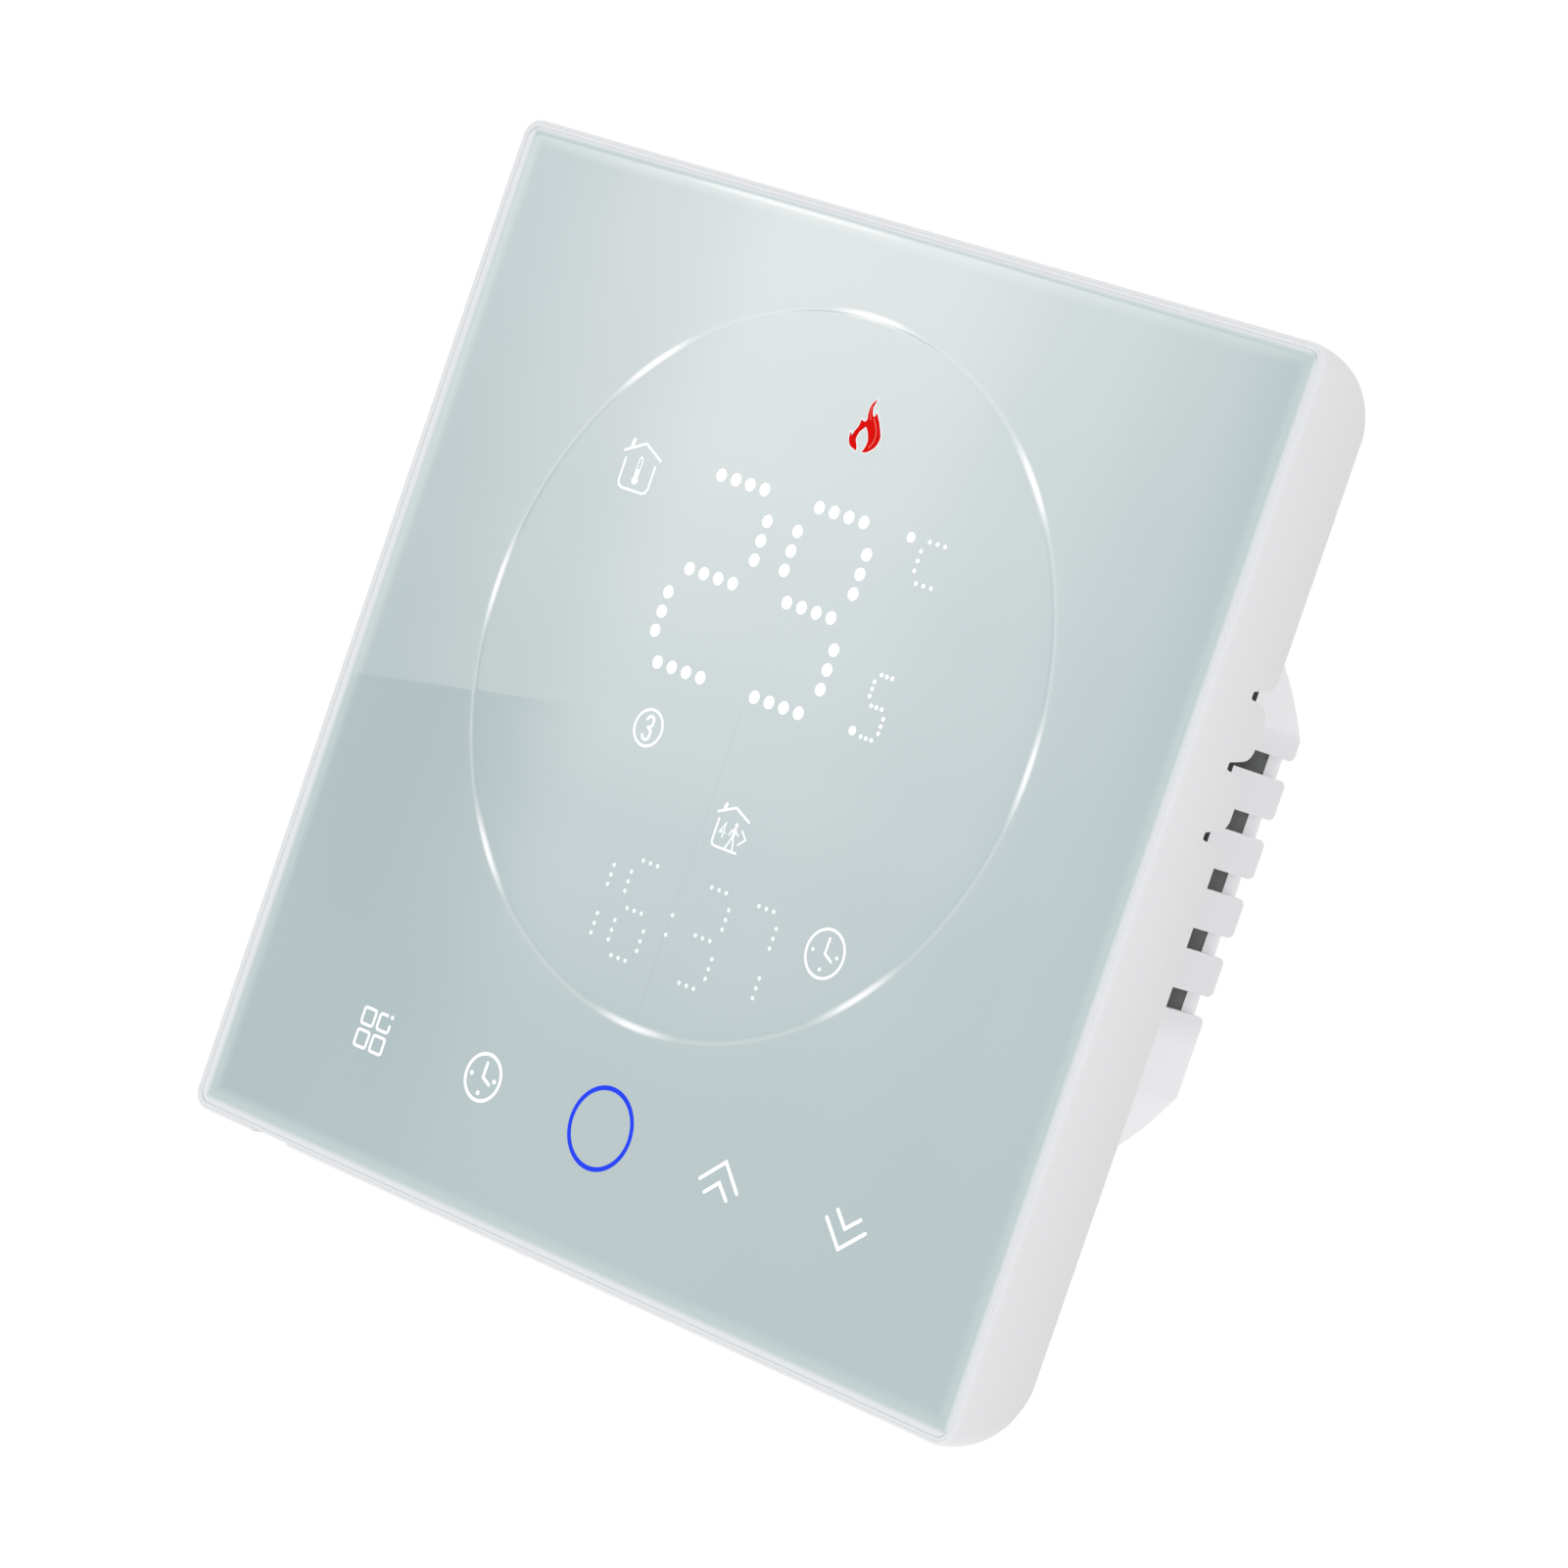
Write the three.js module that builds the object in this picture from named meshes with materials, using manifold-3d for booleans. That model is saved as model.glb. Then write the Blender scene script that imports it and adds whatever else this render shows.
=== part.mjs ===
// Wall thermostat: a square glass touch unit on a steel wall plate, with a round vented box behind it.
// Millimetres, +Z up, the glass faces -Y, the wall surface is the plane y = 0.
import * as THREE from 'three';
import { mergeVertices } from 'three/addons/utils/BufferGeometryUtils.js';
import Module from 'manifold-3d';

const wasm = await Module();
wasm.setup();

// ---- main dimensions ----
const HALF = 43;              // half of the 86 mm square face
const FRONT = -13.3;          // front plane of glass and lip
const SIDE_R = 23;            // radius of the inward curve of the sides
const CORNER_R = 1.6;
const GLASS_HALF = 42.45;
const GLASS_BACK = -11.3;
const RING_X = 0.05;          // fine engraved ring round the lit figures
const RING_Z = 6.17;
const RING_R = 29.18;
const RING_DEEP = 0.12;
const SHELF_Y = -11.0;
const BOARD_FRONT = -7.0;
const BOARD_BACK = -5.4;
const COVER_FRONT = -3.0;
const COVER_BACK = -2.2;
const POST = 35;              // front screws stand at +-POST in x and z
const PLATE_HALF = 34.4;
const BOX_R = 30;             // round box
const BOX_FLAT = 26;          // its two flats
const BOX_WALL = 1.2;
const BOX_BACK = 22.3;
const FLOOR_Y = 20.5;         // inner face of the box's rear wall
const SLOT_Z = [12.35, 7.4, 2.45, -2.5, -7.45];
const SLOT_H = 1.7;
const NOTCH_Z = [17.1, 11.55, 6.05];
const KEY_X = [-26.2, -13.0, 0.5, 13.8, 27.1];
const KEY_Z = -31.4;
const KEY_NAMES = ['menu', 'clock', 'power', 'up', 'down'];
const BIG_X = [-7.4, 3.42];   // centres of the two large digits
const BIG_Z = 12.2;
const SMALL_X = [-8.79, -3.6, 4.05, 9.24];
const SMALL_Z = -14.54;
const PB_FRONT = 7.0;         // power board
const PB_BACK = 8.6;
const LINK_Z = -9;            // header between the two boards
const PITCH = 2.54;
const WAY_PITCH = 5.08;
const WAYS = 6;
const POCKET_Y = 10.2;
const BLOCK_BACK = 20.2;
const BLOCK_LOW = -22.5;
const BLOCK_TOP = -12.7;
const SCREW_Z = -17.0;
const BOX_SCREW_R = 32.4;
const SLOT_R = 2.3;           // half width of the wall screw slots
const SLOT_REACH = 2.4;
const SEAT_R = 3.7;           // raised seat round each slot
const SEAT_Y = -1.3;

// ---- materials ----
const paint = (color, roughness, metalness = 0) =>
  new THREE.MeshStandardMaterial({ color, roughness, metalness });
const WHITE = paint(0xf1f2f3, 0.42);
const GLASS = paint(0xb9c8c8, 0.08);
const STEEL = paint(0xb8bcc0, 0.35, 0.9);
const BRASS = paint(0xc9a455, 0.3, 0.95);
const BOARD = paint(0x1f5a3c, 0.5);
const BLACK = paint(0x1c1c1e, 0.55);
const DARK = paint(0x2c2e30, 0.6);
const FOAM = paint(0x303234, 0.9);
const FILM = paint(0xf4f6f6, 0.6);
const COPPER = paint(0xb06a34, 0.4, 0.6);
const BLUE = paint(0x2456a8, 0.5);
const GREEN = paint(0x2f9d57, 0.5);
const FERRITE = paint(0x3a3b3d, 0.7);

// ---- solids ----
function solid(geometry) {
  const g = geometry.clone();
  g.deleteAttribute('normal');
  g.deleteAttribute('uv');
  const m = mergeVertices(g, 1e-5);
  return new wasm.Manifold(new wasm.Mesh({
    numProp: 3,
    vertProperties: new Float32Array(m.attributes.position.array),
    triVerts: new Uint32Array(m.index.array),
  }));
}

function geometryOf(body) {
  const mesh = body.getMesh();
  const g = new THREE.BufferGeometry();
  g.setAttribute('position', new THREE.BufferAttribute(new Float32Array(mesh.vertProperties), 3));
  g.setIndex(new THREE.BufferAttribute(new Uint32Array(mesh.triVerts), 1));
  g.computeVertexNormals();
  return g;
}

// box from its two ends in x, y and z
function block(x0, x1, y0, y1, z0, z1) {
  const g = new THREE.BoxGeometry(x1 - x0, y1 - y0, z1 - z0);
  g.translate((x0 + x1) / 2, (y0 + y1) / 2, (z0 + z1) / 2);
  return solid(g);
}

// round bar along Y
function rod(x, z, r, y0, y1, sides = 20, r1 = r) {
  const g = new THREE.CylinderGeometry(r1, r, y1 - y0, sides);
  g.translate(x, (y0 + y1) / 2, z);
  return solid(g);
}

// slot with round ends along Z, cut along Y
function longSlot(x, z, r, reach, y0, y1) {
  return block(x - r, x + r, y0, y1, z - reach, z + reach)
    .add(rod(x, z - reach, r, y0, y1))
    .add(rod(x, z + reach, r, y0, y1));
}

const addAll = (body, list) => list.reduce((sum, item) => sum.add(item), body);
const cutAll = (body, list) => list.reduce((rest, item) => rest.subtract(item), body);

// outline of a square with round corners, as [x, z] pairs
function squareOutline(half, radius, steps = 4) {
  const points = [];
  const r = Math.max(radius, 0.2);
  for (let q = 0; q < 4; q += 1) {
    const cx = (q === 0 || q === 3 ? 1 : -1) * (half - r);
    const cz = (q < 2 ? 1 : -1) * (half - r);
    for (let i = 0; i <= steps; i += 1) {
      const a = (q + i / steps) * Math.PI / 2;
      points.push([cx + r * Math.cos(a), cz + r * Math.sin(a)]);
    }
  }
  return points;
}

// outline of a circle cut by two upright flats, as [x, z] pairs
function drumOutline(radius, flat, steps = 22) {
  const points = [];
  const start = Math.acos(Math.min(1, flat / radius));
  for (const base of [0, Math.PI]) {
    for (let i = 0; i <= steps; i += 1) {
      const a = base + start + (Math.PI - 2 * start) * i / steps;
      points.push([radius * Math.cos(a), radius * Math.sin(a)]);
    }
  }
  return points;
}

// skin through matching outlines; rings are {y, outline}; closed makes a frame, else flat ends
function loft(rings, closed) {
  const n = rings[0].outline.length;
  const positions = [];
  const index = [];
  for (const ring of rings) {
    for (const [x, z] of ring.outline) positions.push(x, ring.y, z);
  }
  const spans = closed ? rings.length : rings.length - 1;
  for (let k = 0; k < spans; k += 1) {
    const a = k * n;
    const b = ((k + 1) % rings.length) * n;
    for (let i = 0; i < n; i += 1) {
      const j = (i + 1) % n;
      index.push(a + i, a + j, b + j, a + i, b + j, b + i);
    }
  }
  if (!closed) {
    const last = (rings.length - 1) * n;
    for (let i = 1; i < n - 1; i += 1) {
      index.push(0, i + 1, i);
      index.push(last, last + i, last + i + 1);
    }
  }
  const g = new THREE.BufferGeometry();
  g.setAttribute('position', new THREE.BufferAttribute(new Float32Array(positions), 3));
  g.setIndex(index);
  const body = solid(g);
  if (body.volume() > 0) return body;
  for (let i = 0; i < index.length; i += 3) [index[i], index[i + 1]] = [index[i + 1], index[i]];
  g.setIndex(index);
  return solid(g);
}

const drum = (radius, flat, stations) =>
  loft(stations.map(([y, inset]) => ({ y, outline: drumOutline(radius - inset, flat - inset) })), false);
const slab = (half, radius, stations) =>
  loft(stations.map(([y, inset]) => ({ y, outline: squareOutline(half - inset, radius - inset) })), false);

// ---- assembly ----
const thermostat = new THREE.Group();
thermostat.name = 'wall_thermostat';

function place(name, body, material) {
  const mesh = new THREE.Mesh(body.isBufferGeometry ? body : geometryOf(body), material);
  mesh.name = name;
  thermostat.add(mesh);
}

// half width of the side surface at depth y
const sideHalf = (y) => {
  const s = Math.max(0, y - FRONT);
  return HALF - (SIDE_R - Math.sqrt(SIDE_R * SIDE_R - s * s));
};

// front housing: lip, curved sides, glass shelf, corner bosses, rim vents and pry recess
function frontHousing() {
  const section = [[42.55, FRONT + 0.12], [42.68, FRONT], [42.84, FRONT + 0.06], [42.96, FRONT + 0.22]];
  for (const y of [-12.8, -11.5, -10, -8.5, -7, -5.5, -4, -2.5, -1.2, 0]) section.push([sideHalf(y), y]);
  for (const y of [0, -2, -4, -6, -8]) section.push([sideHalf(y) - 1.45, y]);
  section.push([41.0, -9.8], [40.0, -9.8], [40.0, SHELF_Y], [42.55, SHELF_Y]);
  const rings = section.map(([u, y]) => ({
    y,
    outline: squareOutline(u, CORNER_R - (Math.max(sideHalf(y), u) - u)),
  }));
  let body = loft(rings, true);
  for (const sx of [-1, 1]) {
    for (const sz of [-1, 1]) {
      const x = [sx * 31.5, sx * 41.3].sort((a, b) => a - b);
      const z = [sz * 31.5, sz * 41.3].sort((a, b) => a - b);
      body = body.add(block(x[0], x[1], SHELF_Y, -9.8, z[0], z[1]));
      body = body.add(rod(sx * POST, sz * POST, 2.5, -9.9, BOARD_FRONT));
      body = body.subtract(rod(sx * POST, sz * POST, 0.85, -10.2, BOARD_FRONT + 1, 12));
    }
  }
  for (const z of NOTCH_Z) {
    const shape = new THREE.Shape();
    shape.moveTo(-6.7, -0.33);
    shape.lineTo(-1.7, -0.33);
    shape.lineTo(-1.0, -0.42);
    shape.lineTo(0.5, -0.95);
    shape.lineTo(0.5, 0.8);
    shape.lineTo(-1.2, 0.42);
    shape.lineTo(-6.7, 0.33);
    const g = new THREE.ExtrudeGeometry(shape, { depth: 10, bevelEnabled: false });
    g.applyMatrix4(new THREE.Matrix4().set(0, 0, 1, 35, 1, 0, 0, 0, 0, 1, 0, z, 0, 0, 0, 1));
    body = body.subtract(solid(g));
  }
  return body.subtract(block(-35.6, -31.2, FRONT - 1, -9.5, -HALF - 1, -HALF + 0.28));
}

// glass panel with a fine engraved ring
function glassPanel() {
  const body = slab(GLASS_HALF, 1.2, [[FRONT, 0.35], [FRONT + 0.1, 0.08], [FRONT + 0.3, 0],
    [GLASS_BACK, 0]]);
  const groove = [
    [-0.3, 0.2], [-0.3, 0], [-0.1, -RING_DEEP], [0.1, -RING_DEEP], [0.3, 0], [0.3, 0.2], [-0.3, 0.2],
  ].map(([dr, h]) => new THREE.Vector2(RING_R + dr, h));
  const ring = new THREE.LatheGeometry(groove, 72);
  ring.rotateX(Math.PI);
  ring.translate(RING_X, FRONT, RING_Z);
  return body.subtract(solid(ring));
}

// the seven bars of one digit, as cells to cut
function digitCells(x, z, width, height, bar, y0, y1) {
  const cells = [];
  const w = width / 2;
  const h = height / 2;
  const b = bar / 2;
  for (const level of [-h, 0, h]) cells.push(block(x - w + bar, x + w - bar, y0, y1, z + level - b, z + level + b));
  for (const side of [-w, w]) {
    for (const level of [-h / 2, h / 2]) {
      cells.push(block(x + side - b, x + side + b, y0, y1, z + level - h / 2 + bar, z + level + h / 2 - bar));
    }
  }
  return cells;
}

function lightMask() {
  const y0 = -12;
  const y1 = -6;
  const cells = [];
  for (const x of BIG_X) cells.push(...digitCells(x, BIG_Z, 7.5, 15.6, 1.5, y0, y1));
  for (const x of SMALL_X) cells.push(...digitCells(x, SMALL_Z, 3.2, 7.9, 0.9, y0, y1));
  for (const [x, z, w, h] of [
    [2.9, 27, 5, 6], [-18.5, 18.4, 8, 6], [-8.4, -0.8, 6, 6], [3.2, -5.8, 9, 6],
    [16.4, -12.2, 7, 7], [12.6, 20.1, 5, 3], [13.1, 6.9, 4.4, 6.4],
  ]) cells.push(block(x - w / 2, x + w / 2, y0, y1, z - h / 2, z + h / 2));
  for (const dz of [-0.8, 0.8]) cells.push(rod(0.33, SMALL_Z + dz, 0.5, y0, y1, 10));
  return cutAll(block(-23.5, 21, -10.9, BOARD_FRONT, -21, 31), cells);
}

// flat spring contact: a coil between the board and the glass
function touchSpring(x, z) {
  const points = [];
  const turns = 4;
  const steps = 36;
  const wire = 0.25;
  for (let i = 0; i <= steps; i += 1) {
    const a = i / steps * turns * Math.PI * 2;
    const y = BOARD_FRONT - wire - (BOARD_FRONT - GLASS_BACK - 2 * wire) * i / steps;
    points.push(new THREE.Vector3(x + 3.8 * Math.cos(a), y, z + 3.8 * Math.sin(a)));
  }
  const shape = new THREE.Shape();
  for (let i = 0; i < 5; i += 1) {
    const a = i / 5 * Math.PI * 2;
    if (i === 0) shape.moveTo(wire * Math.cos(a), wire * Math.sin(a));
    else shape.lineTo(wire * Math.cos(a), wire * Math.sin(a));
  }
  const path = new THREE.CatmullRomCurve3(points);
  const g = new THREE.ExtrudeGeometry(shape, { steps: 40, extrudePath: path, bevelEnabled: false });
  return solid(g);
}

// screw along Y: head at yHead (outer end), shank to yTip
function screw(x, z, headR, headY0, headY1, shankR, tip, slotted = true) {
  const toRoom = tip > headY0;
  const shank = toRoom ? rod(x, z, shankR, headY1 - 0.2, tip, 14) : rod(x, z, shankR, tip, headY0 + 0.2, 14);
  let body = rod(x, z, headR, headY0, headY1, 18).add(shank);
  const outer = toRoom ? headY0 : headY1;
  if (slotted) {
    body = body.subtract(block(x - headR, x + headR, outer - 0.45, outer + 0.45, z - 0.25, z + 0.25));
  } else {
    body = body.subtract(block(x - 0.9, x + 0.9, outer - 0.5, outer + 0.5, z - 0.25, z + 0.25));
    body = body.subtract(block(x - 0.25, x + 0.25, outer - 0.5, outer + 0.5, z - 0.9, z + 0.9));
  }
  return body;
}

function flatScrew(x, z) {
  return rod(x, z, 1.5, -2.0, -1.25, 18, 1.0)
    .add(rod(x, z, 1.0, -1.35, -0.05, 14))
    .subtract(block(x - 0.8, x + 0.8, -2.5, -1.6, z - 0.2, z + 0.2))
    .subtract(block(x - 0.2, x + 0.2, -2.5, -1.6, z - 0.8, z + 0.8));
}

const boxScrewAt = [60, 120, 240, 300].map((deg) => {
  const a = deg * Math.PI / 180;
  return [BOX_SCREW_R * Math.cos(a), BOX_SCREW_R * Math.sin(a)];
});
const corners = [[-1, 1], [1, 1], [1, -1], [-1, -1]];
const boardPosts = [[-17, 19.5], [17, 19.5]];
const wayX = Array.from({ length: WAYS }, (unused, i) => (i - (WAYS - 1) / 2) * WAY_PITCH);

// rear box: flange, vented side walls, terminal pocket, board bosses
function rearBox() {
  let body = drum(BOX_R, BOX_FLAT, [[-1.6, 0], [21.6, 0], [22.1, 0.22], [BOX_BACK, 0.7]]);
  body = body.add(drum(34.2, BOX_FLAT, [[-2.0, 0], [-1.0, 0]]));
  body = body.subtract(drum(BOX_R - 1.3, BOX_FLAT - BOX_WALL, [[-3, 0], [FLOOR_Y, 0]]));
  const pocket = block(-18, 18, PB_BACK, FLOOR_Y + 0.5, -31, -11)
    .intersect(drum(BOX_R - 0.5, BOX_FLAT, [[0, 0], [22, 0]]));
  body = body.add(pocket);
  for (const [x, z] of boardPosts) {
    body = body.add(rod(x, z, 2.5, PB_BACK, FLOOR_Y + 0.5));
    body = body.subtract(rod(x, z, 0.85, PB_BACK - 1, 15, 12));
  }
  const cuts = [block(-16.6, 16.6, POCKET_Y, BOX_BACK + 1, -32, -12.2)];
  cuts.push(block(-14, 14, PB_BACK - 1, POCKET_Y + 1, SCREW_Z - 2.4, SCREW_Z - 0.6));
  for (const z of SLOT_Z) {
    for (const side of [-1, 1]) {
      const x = [side * (BOX_FLAT - BOX_WALL), side * (BOX_FLAT + 1)].sort((a, b) => a - b);
      cuts.push(block(x[0], x[1], 3.0, BOX_BACK + 1, z - SLOT_H / 2, z + SLOT_H / 2));
    }
  }
  for (const [x, z] of boxScrewAt) {
    cuts.push(rod(x, z, 1.55, -2.1, -1.2, 18, 1.05));
    cuts.push(rod(x, z, 1.05, -1.4, -0.5, 14));
  }
  return cutAll(body, cuts);
}

// steel wall plate with 60 mm screw slots and four lugs turned forward
function mountingPlate() {
  let body = slab(PLATE_HALF, 3, [[-1, 0], [0, 0]]);
  const cuts = [drum(BOX_R + 0.3, BOX_FLAT + 0.4, [[-2, 0], [1, 0]])];
  for (const side of [-1, 1]) {
    body = body.add(longSlot(side * 30, 0, SEAT_R, SLOT_REACH, SEAT_Y, -0.5));
    cuts.push(longSlot(side * 30, 0, SLOT_R, SLOT_REACH, -2, 1));
  }
  for (const [x, z] of boxScrewAt) cuts.push(rod(x, z, 1.05, -2, 1, 14));
  body = cutAll(body, cuts);
  for (const [sx, sz] of corners) {
    const x = [sx * 22, sx * 27].sort((a, b) => a - b);
    const z = [sz * 32.0, sz * 33.0].sort((a, b) => a - b);
    body = body.add(block(x[0], x[1], -5.0, -0.5, z[0], z[1]));
  }
  return body;
}

// thin cover that closes the back of the front unit
function innerCover() {
  let body = slab(37.9, 1.5, [[COVER_FRONT, 0], [COVER_BACK, 0]]);
  for (const [sx, sz] of corners) body = body.add(rod(sx * POST, sz * POST, 2.5, BOARD_BACK, COVER_FRONT + 0.2));
  const cuts = [];
  for (const [sx, sz] of corners) {
    cuts.push(rod(sx * POST, sz * POST, 1.1, -6, -1, 14));
    const x = [sx * 21.6, sx * 27.4].sort((a, b) => a - b);
    const z = [sz * 31.6, sz * 33.4].sort((a, b) => a - b);
    cuts.push(block(x[0], x[1], -4, -1, z[0], z[1]));
  }
  for (const side of [-1, 1]) cuts.push(longSlot(side * 30, 0, 4.2, SLOT_REACH, -4, -1));
  cuts.push(block(-5.9, 5.9, -4, -1, LINK_Z - 3.3, LINK_Z + 3.3));
  for (let i = 0; i < 6; i += 1) cuts.push(longSlot(-12.5 + i * 5, 14, 0.8, 6, -4, -1));
  cuts.push(block(33.6, 36.6, -4, -1, 8, 15));
  return cutAll(body, cuts);
}

function displayBoard() {
  const holes = corners.map(([sx, sz]) => rod(sx * POST, sz * POST, 1.1, -8, -5, 14));
  return cutAll(slab(38.4, 2, [[BOARD_FRONT, 0], [BOARD_BACK, 0]]), holes);
}

const linkPins = [];
for (const row of [-0.5, 0.5]) {
  for (const column of [-1.5, -0.5, 0.5, 1.5]) linkPins.push([column * PITCH, LINK_Z + row * PITCH]);
}
const squarePin = (x, z, h, y0, y1) => block(x - h, x + h, y0, y1, z - h, z + h);

place('front_housing', frontHousing(), WHITE);
place('glass_panel', glassPanel(), GLASS);
place('panel_adhesive', loft([[42.2, GLASS_BACK], [42.2, SHELF_Y], [40.3, SHELF_Y], [40.3, GLASS_BACK]]
  .map(([u, y]) => ({ y, outline: squareOutline(u, 1) })), true), FOAM);
place('diffuser_film', block(-23.3, 20.8, -11.1, -10.9, -20.8, 30.8), FILM);
place('light_mask', lightMask(), DARK);
place('display_board', displayBoard(), BOARD);
KEY_X.forEach((x, i) => place(`touch_spring_${KEY_NAMES[i]}`, touchSpring(x, KEY_Z), STEEL));
place('inner_cover', innerCover(), WHITE);
corners.forEach(([sx, sz], i) => place(`front_screw_${i + 1}`,
  screw(sx * POST, sz * POST, 1.9, COVER_BACK, -1.15, 0.8, -9.9, false), STEEL));
place('microcontroller', block(-5, 5, BOARD_BACK, -4.0, -5, 5), BLACK);
place('touch_controller', block(-5, 5, BOARD_BACK, -4.2, -30.4, -26.4), BLACK);
place('clock_crystal', rod(-14, -6, 1.5, BOARD_BACK, -3.6, 14), STEEL);
place('cell_holder', block(10.2, 25.2, BOARD_BACK, -3.3, -12.6, 0.4)
  .subtract(rod(17.7, -6.1, 6.3, -5.2, -3, 32)), BLACK);
place('backup_cell', rod(17.7, -6.1, 6.2, -5.2, -3.4, 32), STEEL);
place('air_sensor', rod(35.1, 11.55, 1.2, -4.3, -2.6, 14)
  .add(rod(34.5, 11.55, 0.25, BOARD_BACK, -4.2, 8)).add(rod(35.7, 11.55, 0.25, BOARD_BACK, -4.2, 8)), BLACK);
place('header_pins', addAll(block(-5.1, 5.1, BOARD_BACK, -2.9, LINK_Z - 2.55, LINK_Z + 2.55),
  linkPins.map(([x, z]) => squarePin(x, z, 0.32, -3.1, 3.6))), BRASS);

place('mounting_plate', mountingPlate(), STEEL);
place('rear_box', rearBox(), WHITE);
boxScrewAt.forEach(([x, z], i) => place(`box_screw_${i + 1}`, flatScrew(x, z), STEEL));
place('power_board', cutAll(drum(28.3, 24.4, [[PB_FRONT, 0], [PB_BACK, 0]]), [
  ...boardPosts.map(([x, z]) => rod(x, z, 1.1, 6, 10, 14)),
  ...wayX.map((x) => block(x - 0.55, x + 0.55, 6, 10, SCREW_Z - 2.05, SCREW_Z - 0.95)),
]), BOARD);
boardPosts.forEach(([x, z], i) => place(`board_screw_${i + 1}`,
  screw(x, z, 2.2, 5.6, PB_FRONT, 0.8, 14.6, false), STEEL));
place('board_socket', cutAll(block(-5.1, 5.1, -1.5, PB_FRONT, LINK_Z - 2.55, LINK_Z + 2.55),
  linkPins.map(([x, z]) => squarePin(x, z, 0.5, -2, 5))), BLACK);
place('relay', slab(1, 0.2, [[0, 0], [1, 0]]).scale([10, 1, 5.3]).scale([1, 10.6, 1])
  .translate([-12.4, PB_BACK, -3.5]), BLUE);
place('transformer_core', block(3.4, 19.4, 9.6, 19.6, -2.5, 2.5)
  .subtract(block(5.6, 9.2, 11.6, 17.6, -4, 4)).subtract(block(13.6, 17.2, 11.6, 17.6, -4, 4)), FERRITE);
place('transformer_winding', addAll(block(6.2, 9.1, 12, 17.2, -5.2, 5.2), [
  block(13.7, 16.6, 12, 17.2, -5.2, 5.2),
  block(6.2, 16.6, 12, 17.2, 2.7, 5.2),
  block(6.2, 16.6, 12, 17.2, -5.2, -2.7),
  block(6.2, 16.6, PB_BACK, 12.2, 3.2, 5.0),
  block(6.2, 16.6, PB_BACK, 12.2, -5.0, -3.2),
]), COPPER);
place('mains_capacitor', rod(-9.4, 13.2, 4, PB_BACK, 19.4, 28), DARK);
place('output_capacitor', rod(7.6, 23.2, 3.2, PB_BACK, 17.4, 24), DARK);
const disc = new THREE.CylinderGeometry(4.6, 4.6, 3.6, 28);
disc.rotateZ(Math.PI / 2);
disc.translate(1.6, 14.8, 14.4);
place('varistor', solid(disc).add(rod(1.1, 12.2, 0.4, PB_BACK, 14, 8)).add(rod(2.1, 16.6, 0.4, PB_BACK, 14, 8)),
  BLUE);
place('fuse', block(7.4, 15.8, PB_BACK, 16.4, 10.6, 14.8), BLACK);

// terminal block with a captive screw and a rising cage in each way
function terminalBlock() {
  let body = block(-15.9, 15.9, POCKET_Y, BLOCK_BACK, BLOCK_LOW, BLOCK_TOP);
  for (const x of wayX) {
    body = body.subtract(block(x - 2.05, x + 2.05, 10.6, 18.45, BLOCK_LOW - 1, -13.7));
    body = body.subtract(rod(x, SCREW_Z, 1.85, 18, BLOCK_BACK + 1, 20));
    body = body.add(block(x - 1.1, x + 1.1, 13.9, 14.5, -21.5, -13.5));
    body = body.add(block(x - 0.4, x + 0.4, PB_FRONT - 0.8, 10.9, SCREW_Z - 1.9, SCREW_Z - 1.1));
  }
  return body;
}
place('terminal_block', terminalBlock(), GREEN);
wayX.forEach((x, i) => {
  place(`terminal_screw_${i + 1}`, screw(x, SCREW_Z, 1.7, 18.6, 20.0, 0.95, 14.55), STEEL);
  place(`wire_clamp_${i + 1}`, block(x - 1.8, x + 1.8, 10.9, 16.4, -19, -15)
    .subtract(block(x - 1.3, x + 1.3, 11.6, 15.2, -20, -14))
    .subtract(rod(x, SCREW_Z, 1.02, 15, 17, 16)), BRASS);
});

export default thermostat;
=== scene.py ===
"""Wall thermostat: looks for the touch-glass front unit, its wall plate and the vented box behind it."""
from math import acos, atan2, cos, pi, radians, sin, sqrt

import bmesh
import bpy
from mathutils import Matrix, Vector


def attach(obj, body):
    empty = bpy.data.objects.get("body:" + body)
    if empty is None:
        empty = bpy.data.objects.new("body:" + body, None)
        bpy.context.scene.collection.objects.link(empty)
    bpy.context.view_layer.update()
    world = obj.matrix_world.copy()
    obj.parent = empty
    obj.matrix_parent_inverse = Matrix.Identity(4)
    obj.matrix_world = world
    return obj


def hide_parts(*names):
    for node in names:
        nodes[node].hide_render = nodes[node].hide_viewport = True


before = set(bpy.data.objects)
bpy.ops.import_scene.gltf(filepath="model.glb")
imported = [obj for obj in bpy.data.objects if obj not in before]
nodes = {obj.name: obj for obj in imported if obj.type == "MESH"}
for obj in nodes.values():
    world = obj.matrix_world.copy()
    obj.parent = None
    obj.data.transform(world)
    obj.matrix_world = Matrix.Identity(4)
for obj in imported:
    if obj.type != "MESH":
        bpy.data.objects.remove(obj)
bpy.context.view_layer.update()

MM = 0.001
FACE_Y = -13.25          # polished field of the glass
INK_Y = -13.272          # crown of the lit marks
FRONT_Y = -13.3          # lip of the housing
HALF = 43.0
SIDE_R = 23.0
CORNER_R = 1.6


# ---------- camera

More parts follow.
